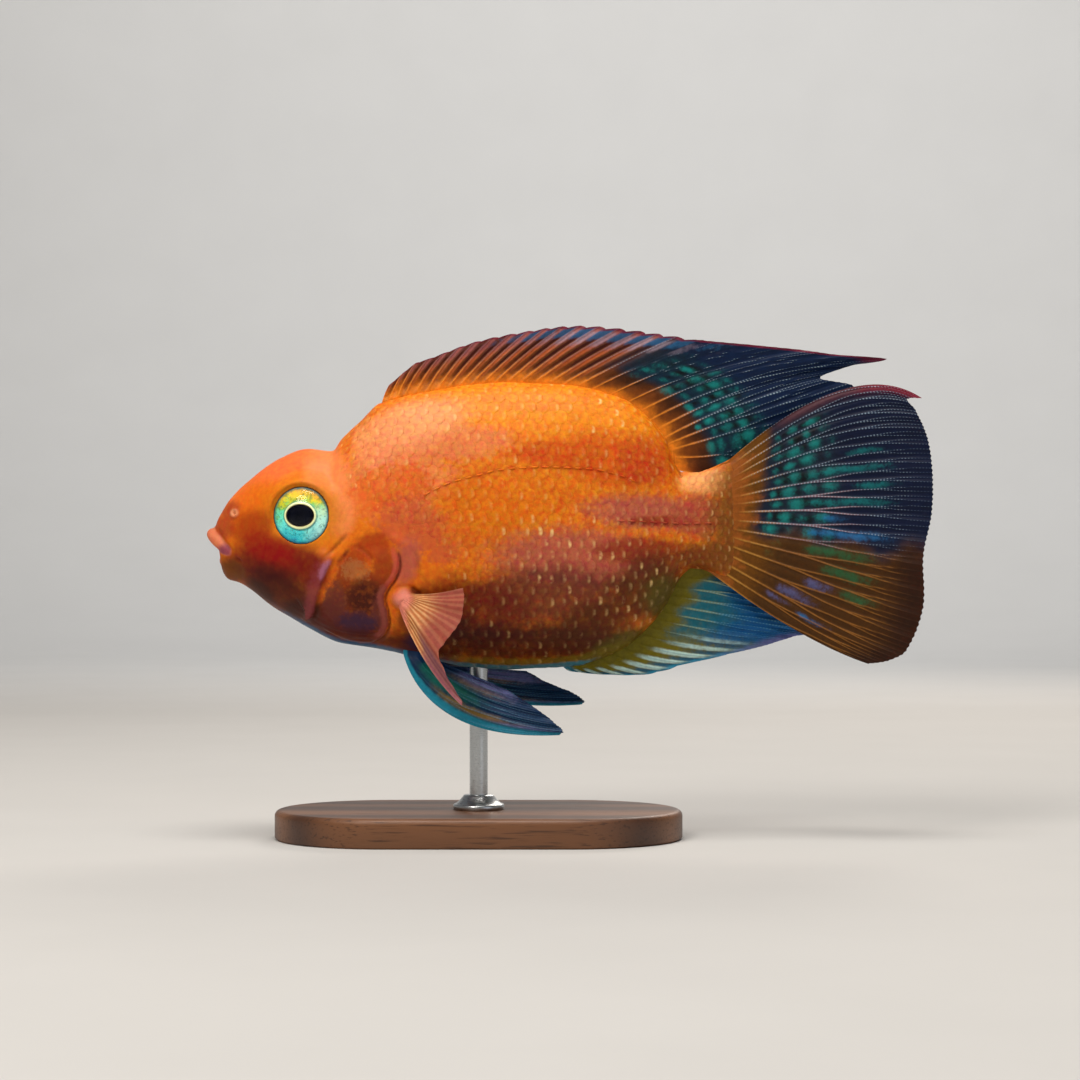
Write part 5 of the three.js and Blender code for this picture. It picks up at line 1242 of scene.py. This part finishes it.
def caudalLooks(piece, fields):
    ray, t, crest, run = fields["ray"], fields["along"], fields["crest"], fields["run"]
    upper = smoothstep(11.0, 8.8, ray + 0.35 * np.sin(run * 0.4))
    teal, ink = spotRows(fields, 23, (1, 10), lambda strip: 10.6 + 0.45 * abs(strip - 8), 4, 4.4, 1.2)
    fade = smoothstep(34, 24, run) * smoothstep(0.4, 1.6, ray)
    setFields(piece, {
        "soft": smoothstep(3, 9, run) * lerp(0.15, 1, upper),
        # The fin's fleshy root; its colour is lifted above the stalk's gold as painted light, to match the
        # scales beside it
        "fleshy": smoothstep(10.5, 2, run + 1.8 * np.sin(ray * 2.7)),
        "rootRays": crest ** 1.5 * smoothstep(1.5, 6, run) * smoothstep(20, 9, run),
        "water": upper * smoothstep(7.0, 13.0, run + 0.7 * np.maximum(0, ray - 5)
                                    - 1.2 * np.maximum(0, 4 - ray)),
        "navy": upper * smoothstep(24, 36, run),
        "tealSpots": teal * fade * upper, "inkSpots": ink * fade * upper,
        "tealStreaks": streakRows(fields, [(5.5, 25, 46, 0.22), (6.5, 34, 47, 0.2), (7.5, 22, 46, 0.25),
                                           (4.6, 33, 45, 0.16)]),
        "skyStreaks": streakRows(fields, [(9.4, 22, 46, 0.26), (8.5, 25, 33, 0.22), (14.7, 27, 38, 0.2)]),
        "greenStreaks": streakRows(fields, [(10.5, 22, 43, 0.32), (11.5, 28, 45, 0.3), (12.5, 35, 47, 0.26),
                                            (10.5, 13, 16, 0.4), (11.4, 12, 16, 0.4)]),
        "lilacStreaks": streakRows(fields, [(12.5, 25, 35, 0.28), (13.6, 19, 32, 0.34),
                                            (14.4, 17, 25, 0.26)]),
        "darkGaps": (1 - upper) * smoothstep(8, 20, run) * (1 - crest),
        "rustEdge": (1 - upper) * smoothstep(0.7, 1.0, t),
        "redRim": bell(ray, 0.8) * smoothstep(0.5, 0.75, t),
        "mauveRim": bell(ray, 0.8) * smoothstep(0.12, 0.3, t) * smoothstep(0.8, 0.6, t),
        "pinkRays": crest ** 2 * bell(ray - 8.0, 2.6) * smoothstep(4, 9, run) * smoothstep(44, 30, run),
        "goldRays": crest ** 2 * smoothstep(9.6, 10.6, ray) * smoothstep(2, 8, run)
        * smoothstep(1.1, 0.7, t)})
    return finTissue("caudalFinTissue", "#683E08", [
        ("darkGaps", "#382004", 0.7, 1.6, 0.5, 0.8), ("water", "#061E34", 0.5, 2.4, 0.45, 0.96),
        ("navy", "#041030", 0.5, 2.4, 0.5, 0.9), ("inkSpots", "#040205", 0.9, 0.9, 0.35, 0.92),
        ("tealSpots", "#12807C", 0.9, 0.9, 0.5, 0.88), ("tealStreaks", "#107476", 1.4, 0.9, 0.6, 0.72),
        ("skyStreaks", "#2068A0", 1.2, 0.9, 0.55, 0.75), ("rustEdge", "#260E04", 0.6, 2.4, 0.5, 0.85),
        ("greenStreaks", "#14603A", 1.2, 0.9, 0.55, 0.7), ("lilacStreaks", "#545C90", 1.2, 0.9, 0.55, 0.65),
        ("goldRays", "#925C18", 0.5, 1.6, 0.45, 0.75), ("pinkRays", "#B08488", 0.3, 0.9, 0.4, 0.85),
        ("mauveRim", "#5C343C", 0.4, 1.6, 0.45, 0.85), ("redRim", "#7C1A2C", 0.5, 1.6, 0.45, 0.9),
        ("fleshy", "#985218", 1.6, 1.6, 0.6, 0.95), ("rootRays", "#C08A34", 0.9, 0.9, 0.5, 0.6)],
        "#3C5674", 0.22, "#B8D0E4", 0.55)


def analLooks(piece, fields):
    ray, t, crest, run = fields["ray"], fields["along"], fields["crest"], fields["run"]
    spiny = smoothstep(11.0, 6.5, ray)
    core = smoothstep(0.8, 0.2, fields["beside"])
    setFields(piece, {
        "soft": 1 - spiny,
        "cobalt": smoothstep(0.25, 0.65, t) * (1 - spiny),
        "tealMid": smoothstep(2.5, 9.5, run + 1.4 * np.sin(ray * 2.3)) * (1 - spiny),
        "seaGaps": spiny * smoothstep(0.35, 0.85, t) * (1 - 0.5 * core),
        "iceStreak": spiny * core * smoothstep(0.12, 0.5, t) * smoothstep(1.05, 0.7, t),
        "cyanEdge": np.maximum(smoothstep(0.8, 0.97, t) * spiny, smoothstep(1.5, 0.4, ray)),
        "lilacTip": smoothstep(0.8, 0.98, t) * bell(ray - 9.5, 2.5),
        "paleRays": crest * (1 - spiny) * smoothstep(4, 8, run) * smoothstep(19, 12, run)})
    return finTissue("analFinTissue", "#6E640E", [
        ("tealMid", "#086478", 0.9, 1.6, 0.6, 0.95), ("cobalt", "#085090", 0.7, 1.6, 0.6, 0.9),
        ("seaGaps", "#0E5270", 0.7, 1.6, 0.5, 0.9), ("cyanEdge", "#1E80A0", 0.6, 1.6, 0.45, 0.8),
        ("iceStreak", "#BCDCD4", 0.7, 1.6, 0.45, 0.9), ("paleRays", "#A8A850", 0.4, 0.9, 0.4, 0.6),
        ("lilacTip", "#7468A0", 0.7, 1.6, 0.5, 0.6)],
        "#4A90B8", 0.3, "#9AD4EA", 0.25)


def pelvicLooks(piece, fields):
    ray, t = fields["ray"], fields["along"]
    setFields(piece, {
        "soft": smoothstep(0.2, 0.6, t),
        "teal": bell(ray - 2.2, 1.0) * smoothstep(0.0, 0.15, t) * smoothstep(0.75, 0.35, t),
        "amberStreak": np.maximum(bell(ray - 1.0, 0.4), 0.7 * bell(ray - 3.5, 0.5))
        * smoothstep(0.15, 0.45, t) * smoothstep(0.95, 0.6, t),
        "lavender": np.maximum(bell(ray - 0.6, 0.5) * smoothstep(0.55, 0.8, t),
                               bell(ray - 4.2, 0.8) * smoothstep(0.2, 0.5, t)) * smoothstep(1.05, 0.85, t),
        "cyanEdge": smoothstep(1.05, 0.35, ray)})
    return finTissue("pelvicFinTissue", "#07284C", [
        ("teal", "#0A6456", 0.8, 1.6, 0.5, 0.92), ("amberStreak", "#84661C", 1.1, 1.6, 0.5, 0.8),
        ("lavender", "#66689A", 1.1, 1.6, 0.5, 0.75), ("cyanEdge", "#1C8AA4", 0.5, 1.6, 0.45, 0.92)],
        "#3A6C88", 0.3, "#7AB4CC", 0.2)


def pectoralLooks(piece, fields):
    ray, t, crest = fields["ray"], fields["along"], fields["crest"]
    setFields(piece, {
        "soft": 0 * t,
        "creamRays": crest ** 1.5 * smoothstep(0.12, 0.3, t) * smoothstep(0.9, 0.4, t),
        "rosy": smoothstep(0.25, 0.8, t),
        "foldViolet": smoothstep(9.0, 11.0, ray) * smoothstep(0.3, 0.6, t),
        "rootPink": smoothstep(0.26, 0.08, t)})
    return finTissue("pectoralFinTissue", "#B46A38", [
        ("creamRays", "#EABA80", 0.5, 1.6, 0.5, 0.6), ("rosy", "#8E3E38", 0.7, 2.4, 0.55, 0.88),
        ("foldViolet", "#804A5A", 0.5, 1.6, 0.5, 0.8), ("rootPink", "#D8806C", 0.5, 1.6, 0.5, 0.95)],
        "#E0A878", 0.12, "#F8DCB4", 0.0)


# Eye: an iris that climbs to the pupil, the round lens in the pupil, and a clear cornea over both. The ridge
# and groove run round the pupil: how high, where across the iris, and how wide.
eye = {"iris": 7.52, "irisOut": 2.75, "pupil": (3.85, 2.95), "pupilOut": 3.7, "wobble": 0.06,
       "ridge": (0.28, 0.9, 0.09), "groove": (-0.12, 0.74, 0.06), "lensOut": 4.4, "lensSink": 0.3,
       "lensWidth": 0.96, "edgeSink": 0.35, "edgeWidth": 0.97, "around": 96,
       "backDepth": 4.6, "backOut": 0.3,
       "ballRim": 8.2, "ballRimOut": 1.9, "corneaOut": 5.1, "corneaRim": 8.0, "corneaRimOut": 1.6,
       "corneaBulge": 1.15, "corneaThickness": 0.22, "rimThickness": 0.6}
quarter = math.pi / 2
eyeAngles = np.linspace(0, 4 * quarter, eye["around"], endpoint=False)


def eyeRing(side, radius, level):
    centre, forward, out, upward = socketFrame(side)
    ring = centre + forward * (radius * np.cos(eyeAngles))[:, None]
    return ring + upward * (radius * np.sin(eyeAngles))[:, None] + out * (level + 0 * eyeAngles)[:, None]


# Radius, how far out, and the share across the iris: -1 in the pupil, 0 at its edge, 1 and more outside
def eyeSections():
    pupil = 1 / np.hypot(np.cos(eyeAngles) / eye["pupil"][0], np.sin(eyeAngles) / eye["pupil"][1])
    sections = []
    for s in np.linspace(0.04, 1, 8):
        level = lerp(-eye["backDepth"], eye["backOut"], 1 - math.cos(s * quarter))
        sections.append((eye["ballRim"] * math.sin(s * quarter), level, 1.5))
    for s in np.linspace(0, 0.9, 4):
        level = lerp(eye["ballRimOut"], eye["irisOut"], math.sin(s * quarter))
        sections.append((lerp(eye["ballRim"], eye["iris"], s), level, 1.3 - 0.28 * s))
    for s in np.linspace(0.06, 1, 18):
        level = lerp(eye["irisOut"], eye["pupilOut"], s)
        for height, middle, width in (eye["ridge"], eye["groove"]):
            level += height * bell(s - middle, width)
        sections.append((lerp(eye["iris"], pupil, s), level, 1 - s))
    sections.append((pupil * eye["edgeWidth"], eye["pupilOut"] - eye["edgeSink"], -0.2))
    lensFoot = eye["pupilOut"] - eye["lensSink"]
    for s in np.linspace(0.08, 0.97, 8):
        level = lerp(lensFoot, eye["lensOut"], math.sin(s * quarter))
        sections.append((pupil * eye["lensWidth"] * math.cos(s * quarter), level, -1))
    return sections


def makeEye(name, side, iris, pupil):
    centre, _, out, _ = socketFrame(side)
    rings, fields = [], {"ring": [], "lookUp": [], "lookBack": []}
    for radius, level, share in eyeSections():
        wobble = eye["wobble"] * (rng.random(len(eyeAngles)) - 0.5) if 0.05 < share < 0.9 else 0
        rings.append(eyeRing(side, radius, level + wobble))
        fields["ring"].append(share + 0 * eyeAngles)
        fields["lookUp"].append(radius * np.sin(eyeAngles))
        fields["lookBack"].append(radius * np.cos(eyeAngles))
    count, size = len(rings), len(eyeAngles)
    faces = ringFaces(count, size) + pointedEnds(count, size)
    points = np.vstack(rings + [centre - out * eye["backDepth"], centre + out * eye["lensOut"]])
    ball = newPiece(name, points, [face[::1 if side < 0 else -1] for face in faces])
    # The last nine rings lie in the pupil
    inPupil = np.zeros(len(faces), np.int32)
    inPupil[(count - 10) * size:(count - 1) * size] = 1
    inPupil[(count - 1) * size + 1::2] = 1
    ball.data.materials.append(iris)
    ball.data.materials.append(pupil)
    ball.data.polygons.foreach_set("material_index", inPupil)
    ends = {"ring": [1.5, -1], "lookUp": [0, 0], "lookBack": [0, 0]}
    setFields(ball, {key: np.concatenate(values + [ends[key]]) for key, values in fields.items()})
    return ball


def makeCornea(name, side):
    centre, _, out, _ = socketFrame(side)
    outer, inner = [], []
    for s in np.linspace(0.03, 1, 20):
        radius = eye["corneaRim"] * math.sin(s * quarter)
        level = lerp(eye["corneaRimOut"], eye["corneaOut"], math.cos(s * quarter) ** eye["corneaBulge"])
        for rings, less in ((outer, 0), (inner, eye["corneaThickness"])):
            rings.append(eyeRing(side, radius - less * eye["rimThickness"], level - less))
    rings = outer + inner[::-1]
    faces = ringFaces(len(rings), len(eyeAngles)) + pointedEnds(len(rings), len(eyeAngles))
    points = np.vstack(rings + [centre + out * eye["corneaOut"],
                                centre + out * (eye["corneaOut"] - eye["corneaThickness"])])
    return newPiece(name, points, [face[::1 if side > 0 else -1] for face in faces])


# Iris: pigment over a silvery layer that gives the eye its bright, slightly metallic colours
def irisTissue():
    material, tree, shader = newMaterial("irisTissue")
    where = add(tree, "TexCoord").outputs["Object"]
    ring, up, rear = (add(tree, "Attribute", attribute_name=key).outputs["Fac"]
                      for key in ("ring", "lookUp", "lookBack"))
    lumps, specks = (add(tree, "TexNoise", {"Vector": where, "Scale": 1 / (size * mm), "Detail": detail,
                                            "Roughness": rough}).outputs[0]
                     for size, detail, rough in ((2.2, 5.0, 0.65), (0.7, 4.0, 0.7)))
    fibres, cloud = (add(tree, "TexNoise", {"Vector": where, "Scale": 1 / (size * mm),
                                            "Detail": 4.0}).outputs[0] for size in (0.4, 1.3))
    # Blue below, then cyan, green and yellow upwards
    shifted = add(tree, "Math", {0: lumps, 1: 11.0, 2: up}, operation="MULTIPLY_ADD").outputs[0]
    height = add(tree, "MapRange", {"Value": shifted, "From Min": -2.4, "From Max": 12.6}).outputs[0]
    ramp = add(tree, "ValToRGB", {"Fac": height})
    stops = [(0.0, "#0E88B8"), (0.14, "#24C0CC"), (0.34, "#66E4DC"), (0.52, "#62D8B4"),
             (0.64, "#6EBE5A"), (0.76, "#BEC01C"), (1.0, "#DE9E10")]
    while len(ramp.color_ramp.elements) < len(stops):
        ramp.color_ramp.elements.new(0.5)
    for element, (at, tint) in zip(ramp.color_ramp.elements, stops):
        element.position = at
        element.color = linear(tint)
    colour = ramp.outputs[0]
    rear = add(tree, "Math", {0: lumps, 1: 6.0, 2: rear}, operation="MULTIPLY_ADD").outputs[0]
    pale = add(tree, "MapRange", {"Value": rear, "From Min": 3.5, "From Max": 9.0, "To Max": 0.5},
               interpolation_type="SMOOTHSTEP").outputs[0]
    low = add(tree, "MapRange", {"Value": up, "From Min": 3.6, "From Max": 1.2}).outputs[0]
    pale = add(tree, "Math", {0: pale, 1: low}, operation="MULTIPLY").outputs[0]
    colour = add(tree, "Mix", {0: pale, 6: colour, 7: linear("#E6FFF2")}, data_type="RGBA").outputs[2]
    flecks = add(tree, "MapRange", {"Value": specks, "From Min": 0.5, "From Max": 0.64,
                                    "To Max": 0.6}, interpolation_type="SMOOTHSTEP").outputs[0]
    colour = add(tree, "Mix", {0: flecks, 6: colour, 7: linear("#1E6A58")}, data_type="RGBA").outputs[2]
    # Olive clouds over the upper part
    above = add(tree, "MapRange", {"Value": up, "From Min": 0.5, "From Max": 4.5}).outputs[0]
    cloud = add(tree, "MapRange", {"Value": cloud, "From Min": 0.5, "From Max": 0.62,
                                   "To Max": 0.7}).outputs[0]
    cloud = add(tree, "Math", {0: cloud, 1: above}, operation="MULTIPLY").outputs[0]
    colour = add(tree, "Mix", {0: cloud, 6: colour, 7: linear("#5E6E14")}, data_type="RGBA").outputs[2]
    # Rings round the pupil, each inside the last: teal, pale, thin bronze. At the rim teal and brown skin.
    for low, high, tint, strength in ((0.3, 0.22, "#2A7A70", 0.65), (0.19, 0.14, "#E6ECB4", 0.95),
                                      (0.06, 0.02, "#8A6A20", 0.85), (0.8, 1.04, "#0E6478", 0.8),
                                      (1.03, 1.08, "#3A1E06", 1.0)):
        mask = add(tree, "MapRange", {"Value": ring, "From Min": low, "From Max": high, "To Max": strength},
                   interpolation_type="SMOOTHSTEP").outputs[0]
        colour = add(tree, "Mix", {0: mask, 6: colour, 7: linear(tint)}, data_type="RGBA").outputs[2]
    bump = add(tree, "Bump", {"Strength": 0.5, "Distance": 0.12 * mm, "Height": fibres}).outputs[0]
    setInputs(tree, shader, {"Base Color": colour, "Normal": bump, "Metallic": 0.15, "Roughness": 0.4,
                             "IOR": 1.36})
    return material


# Pupil: the dark inside of the eye seen through the lens, under the cornea's own shine
def pupilTissue():
    material, tree, shader = newMaterial("pupilTissue")
    where = add(tree, "TexCoord").outputs["Object"]
    depth = add(tree, "TexNoise", {"Vector": where, "Scale": 1 / (2.0 * mm), "Detail": 1.0}).outputs[0]
    colour = add(tree, "Mix", {0: depth, 6: linear("#010103"), 7: linear("#050818")},
                 data_type="RGBA").outputs[2]
    setInputs(tree, shader, {"Base Color": colour, "Roughness": 0.35, "IOR": 1.06})
    return material


# Cornea: clear, wet and smooth, so that it shows as a sharp highlight alone. Lamps shine through it.
def corneaTissue():
    material, tree, shader = newMaterial("corneaTissue")
    # The low IOR is for its inner face, which borders on the eye's own fluid and hardly shines
    setInputs(tree, shader, {"Base Color": linear("#FFFFFF"), "Roughness": 0.02, "IOR": 1.2,
                             "Transmission Weight": 1.0})
    clear = add(tree, "BsdfTransparent", {"Color": linear("#FFFFFF")}).outputs[0]
    inShadow = add(tree, "LightPath").outputs["Is Shadow Ray"]
    mixed = add(tree, "MixShader", {0: inShadow, 1: shader.outputs[0], 2: clear}).outputs[0]
    setInputs(tree, tree.nodes["Material Output"], {"Surface": mixed})
    return material


# Walnut, planed, sanded and oiled: dark growth rings, fine pores and a low sheen
def oiledWalnut():
    material, tree, shader = newMaterial("oiledWalnut")
    where = add(tree, "TexCoord").outputs["Object"]
    stretched, drawn = (add(tree, "Mapping", {"Vector": where, "Scale": (along, 1.0, 1.0)}).outputs[0]
                        for along in (0.14, 0.05))
    rings = add(tree, "TexWave", {"Vector": stretched, "Scale": 1 / (20 * mm * 3.14), "Distortion": 4.5,
                                  "Detail": 3.0, "Detail Scale": 1.4},
                wave_type="BANDS", bands_direction="Y").outputs[1]
    pores = add(tree, "TexNoise", {"Vector": drawn, "Scale": 1 / (0.6 * mm), "Detail": 3.0}).outputs[0]
    colour = add(tree, "Mix", {0: rings, 6: linear("#4A2C1A"), 7: linear("#7A4E2E")},
                 data_type="RGBA").outputs[2]
    mask = add(tree, "MapRange", {"Value": pores, "From Min": 0.56, "From Max": 0.66,
                                  "To Max": 0.6}).outputs[0]
    colour = add(tree, "Mix", {0: mask, 6: colour, 7: linear("#2C180D")}, data_type="RGBA").outputs[2]
    bump = add(tree, "Bump", {"Strength": 0.35, "Distance": 0.1 * mm, "Height": pores}, invert=True)
    setInputs(tree, shader, {
        "Base Color": colour, "Normal": bump.outputs[0], "IOR": 1.5,
        "Roughness": add(tree, "MapRange", {"Value": pores, "To Min": 0.36, "To Max": 0.56}).outputs[0]})
    return material


# Stainless steel, brushed round its length: fine lines across the rod that spread the highlights
def brushedSteel():
    material, tree, shader = newMaterial("brushedSteel")
    where = add(tree, "TexCoord").outputs["Object"]
    drawn = add(tree, "Mapping", {"Vector": where, "Scale": (0.06, 0.06, 1.0)}).outputs[0]
    lines = add(tree, "TexNoise", {"Vector": drawn, "Scale": 1 / (0.12 * mm), "Detail": 2.0}).outputs[0]
    colour = add(tree, "Mix", {0: lines, 6: linear("#A9ADB0"), 7: linear("#D2D5D6")},
                 data_type="RGBA").outputs[2]
    setInputs(tree, shader, {
        "Base Color": colour, "Metallic": 1.0,
        "Normal": add(tree, "Bump", {"Strength": 0.25, "Distance": 0.02 * mm, "Height": lines}).outputs[0],
        "Roughness": add(tree, "MapRange", {"Value": lines, "To Min": 0.22, "To Max": 0.36}).outputs[0]})
    return material


# Stand
def stackOfRings(name, rings, ends):
    count, size = len(rings), len(rings[0])
    piece = newPiece(name, np.vstack(rings) - fishAt, ringFaces(count, size) + flatEnds(count, size)[:ends])
    piece.data.set_sharp_from_angle(angle=math.radians(stand["flatAngle"]))
    return piece


# A piece turned on a lathe from radius and height pairs, in mm in the stand's frame
def turned(name, outline, sides, openTop=False):
    angles = np.linspace(0, 2 * math.pi, sides, endpoint=False)
    rings = [np.stack([r * np.cos(angles), r * np.sin(angles), np.full(sides, z)], -1) for r, z in outline]
    return stackOfRings(name, rings, 1 if openTop else 2)


def makeBase():  # round ended, with a rounded upper edge
    radius, straight = stand["baseWidth"] / 2, (stand["baseLength"] - stand["baseWidth"]) / 2
    edge, foot, height = stand["baseEdge"], stand["baseEdge"] * stand["baseFoot"], stand["baseHeight"]
    turn = np.linspace(-quarter, quarter, 49)
    end = np.stack([np.cos(turn), np.sin(turn)], -1)
    outline = np.vstack([end, -end])
    centres = np.array([[straight, 0]] * len(turn) + [[-straight, 0]] * len(turn))
    levels = [(foot, 0), (0, foot)]
    levels += [(edge * (1 - math.cos(a)), height - edge + edge * math.sin(a))
               for a in np.linspace(0, quarter, 8)]
    levels += [(edge + stand["baseRim"], height)]
    return stackOfRings("walnut_base", [
        np.column_stack([centres + outline * (radius - inset), np.full(len(outline), z)])
        for inset, z in levels], 2)


def makeStand():
    base = makeBase()
    low, top = stand["baseHeight"], stand["baseHeight"] + stand["collarHeight"]
    r, s, bevel, foot = (stand["collar" + key] for key in ("Radius", "Shoulder", "Bevel", "Foot"))
    inner = r - stand["collarStep"]
    outline = [(r - bevel, low), (r, low + bevel), (r, low + stand["collarWall"]), (inner, low + foot)]
    outline += [(lerp(inner, s, t), low + foot + (top - low - foot - bevel) * t ** 1.5)
                for t in np.linspace(0.1, 1, 9)]
    outline += [(s - bevel, top)]
    collar = turned("steel_collar", outline, 96)
    reach = stand["fishHeight"] + float(belly(stand["rodX"])) + stand["rodReach"]
    outline = [(stand["rodRadius"], top - stand["rodSink"]), (stand["rodRadius"], reach)]
    rod = turned("steel_rod", outline, 64)
    wood, steel = oiledWalnut(), brushedSteel()
    for piece, node, slot, material in ((base, "stand_base", "stand_wood", wood),
                                        (collar, "stand_collar", "stand_steel", steel),
                                        (rod, "stand_rod", "stand_steel", steel)):
        piece.data.materials.append(material)
        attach(piece, "root")
        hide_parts(node)
    print("stand")


# Camera, as far off and as level as the photo's, and a pale studio all round
camera = {"x": 16.85, "distance": 825.0, "z": 82.0, "lens": 100.0, "sensor": 36.0, "clip": (0.02, 20)}
studio = {"floorRadius": 1.3, "cornerRadius": 0.6, "wallTop": 0.85, "colour": "#D0CFCD", "cloud": "#CBCAC8",
          "cloudSize": 60, "sky": "#F4F6FA", "worldStrength": 0.18,
          "aim": (0.02, 0, 0.085), "wallAim": (0.1, 1.9, 0.6)}
lamps = {  # place in metres, size, watts, colour and what it is aimed at
    "key": ((-0.45, -0.85, 0.85), 0.5, 6.2, "#FFF6EC", "aim"),
    "top": ((-0.02, -0.22, 1.05), 0.6, 7.4, "#FFFAF2", "aim"),
    "fill": ((0.8, -0.9, 0.3), 0.8, 0.9, "#E8F0FF", "aim"),
    "rim": ((0.3, 0.75, 0.6), 0.4, 3.0, "#FFF4E8", "aim"),
    "backdrop": ((0.1, 0.95, 0.95), 0.8, 8.5, "#FFFFFF", "wallAim"),
}


def makeStudio():
    lens = bpy.data.cameras.new("camera")
    lens.lens, lens.sensor_width = camera["lens"], camera["sensor"]
    lens.clip_start, lens.clip_end = camera["clip"]
    watcher = bpy.data.objects.new("camera", lens)
    watcher.location = (camera["x"] * mm, -camera["distance"] * mm, camera["z"] * mm)
    watcher.rotation_euler = (quarter, 0, 0)
    bpy.context.scene.collection.objects.link(watcher)
    bpy.context.scene.camera = watcher
    # A bowl, open at the top: flat floor, a wide round corner and a low wall
    r, c = studio["floorRadius"], studio["cornerRadius"]
    outline = [(0.001, 0), (0.2, 0), (0.6, 0), (r, 0)]
    outline += [(r + c * math.sin(a), c - c * math.cos(a)) for a in np.linspace(0.1, quarter, 14)]
    outline += [(r + c, studio["wallTop"])]
    bowl = turned("floor", [(radius / mm, z / mm) for radius, z in outline], 128, openTop=True)
    bowl.data.flip_normals()
    material, tree, shader = newMaterial("paintedFloor")
    where = add(tree, "TexCoord").outputs["Object"]
    cloud = add(tree, "TexNoise", {"Vector": where, "Scale": 1 / (studio["cloudSize"] * mm),
                                   "Detail": 3.0}).outputs[0]
    tint = add(tree, "Mix", {0: cloud, 6: linear(studio["colour"]), 7: linear(studio["cloud"])},
               data_type="RGBA").outputs[2]
    setInputs(tree, shader, {"Base Color": tint, "Roughness": 1.0, "Specular IOR Level": 0.0})
    bowl.data.materials.append(material)
    for name, (place, size, power, tint, target) in lamps.items():
        light = bpy.data.lights.new(name, "AREA")
        light.shape, light.size, light.energy, light.color = "DISK", size, power, linear(tint)[:3]
        lamp = bpy.data.objects.new(name, light)
        lamp.location = place
        aim = np.array(studio[target]) - np.array(place)
        tilt = math.acos(-aim[2] / np.linalg.norm(aim))
        lamp.rotation_euler = (tilt, 0, math.atan2(aim[1], aim[0]) - quarter)
        lamp.visible_camera = False
        bpy.context.scene.collection.objects.link(lamp)
    world = bpy.data.worlds.new("studio")
    world.use_nodes = True
    setInputs(world.node_tree, world.node_tree.nodes["Background"],
              {"Color": linear(studio["sky"]), "Strength": studio["worldStrength"]})
    bpy.context.scene.world = world
    bpy.context.scene.view_settings.view_transform = "Standard"
    print("studio")


makeStudio()
unrollBody()

skin = makeSkin()
setFields(skin, markingsAt(pointsOf(skin)))
skin.data.materials.append(fishSkin("fishSkin", False))
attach(skin, "root")
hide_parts("head", "torso", "tail_stalk", "lower_jaw", "upper_lip", "gill_cover_left",
            "gill_cover_right")

scaleMaterial = fishSkin("fishScale", True)
places = scalePlaces()
for side, sideName in ((-1, "left"), (1, "right")):
    for part, chosen in (("back", [p for p in places if p[1] > 0]),
                         ("flank", [p for p in places if p[1] <= 0])):
        piece = makeScales(f"scales_{part}_{sideName}", side, chosen)
        piece.data.materials.append(scaleMaterial)
        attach(piece, "root")
    pores = makeLateralLine(f"lateral_line_{sideName}", side)
    pores.data.materials.append(scaleMaterial)
    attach(pores, "root")

corneaMaterial, irisMaterial, pupilMaterial = corneaTissue(), irisTissue(), pupilTissue()
for side, sideName in ((-1, "left"), (1, "right")):
    ball = makeEye(f"eyeball_{sideName}", side, irisMaterial, pupilMaterial)
    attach(ball, "root")
    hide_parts(f"eye_{sideName}")
    cornea = makeCornea(f"cornea_{sideName}", side)
    cornea.data.materials.append(corneaMaterial)
    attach(cornea, "root")
print("eyes")

finPieces = [
    ("fin_dorsal", "dorsal", "dorsal_fin", "dorsal_fin", dorsalLooks, False),
    ("fin_caudal", "caudal", "caudal_fin", "caudal_fin", caudalLooks, False),
    ("fin_anal", "anal", "anal_fin", "anal_fin", analLooks, False),
    ("fin_pelvic_left", "pelvicLeft", "pelvic_fin_left", "pelvic_fin", pelvicLooks, False),
    ("fin_pelvic_right", "pelvicRight", "pelvic_fin_right", "pelvic_fin", pelvicLooks, False),
    ("fin_pectoral_left", "pectoral", "pectoral_fin_left", "pectoral_fin", pectoralLooks, False),
    ("fin_pectoral_right", "pectoral", "pectoral_fin_right", "pectoral_fin", pectoralLooks, True),
]
for name, key, node, slotName, looks, mirror in finPieces:
    piece, fields, points = makeFin(name, fins[key], mirror)
    if mirror:
        pivot = np.array(rightPectoral["pivot"])
        c, s = math.cos(rightPectoral["swing"]), math.sin(rightPectoral["swing"])
        x, y = (points[:, :2] - pivot).T
        points[:, :2] = pivot + np.stack([c * x - s * y, s * x + c * y], -1)
        movePoints(piece, points)
    piece.data.materials.append(looks(piece, fields))
    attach(piece, "root")
    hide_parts(node)

makeStand()
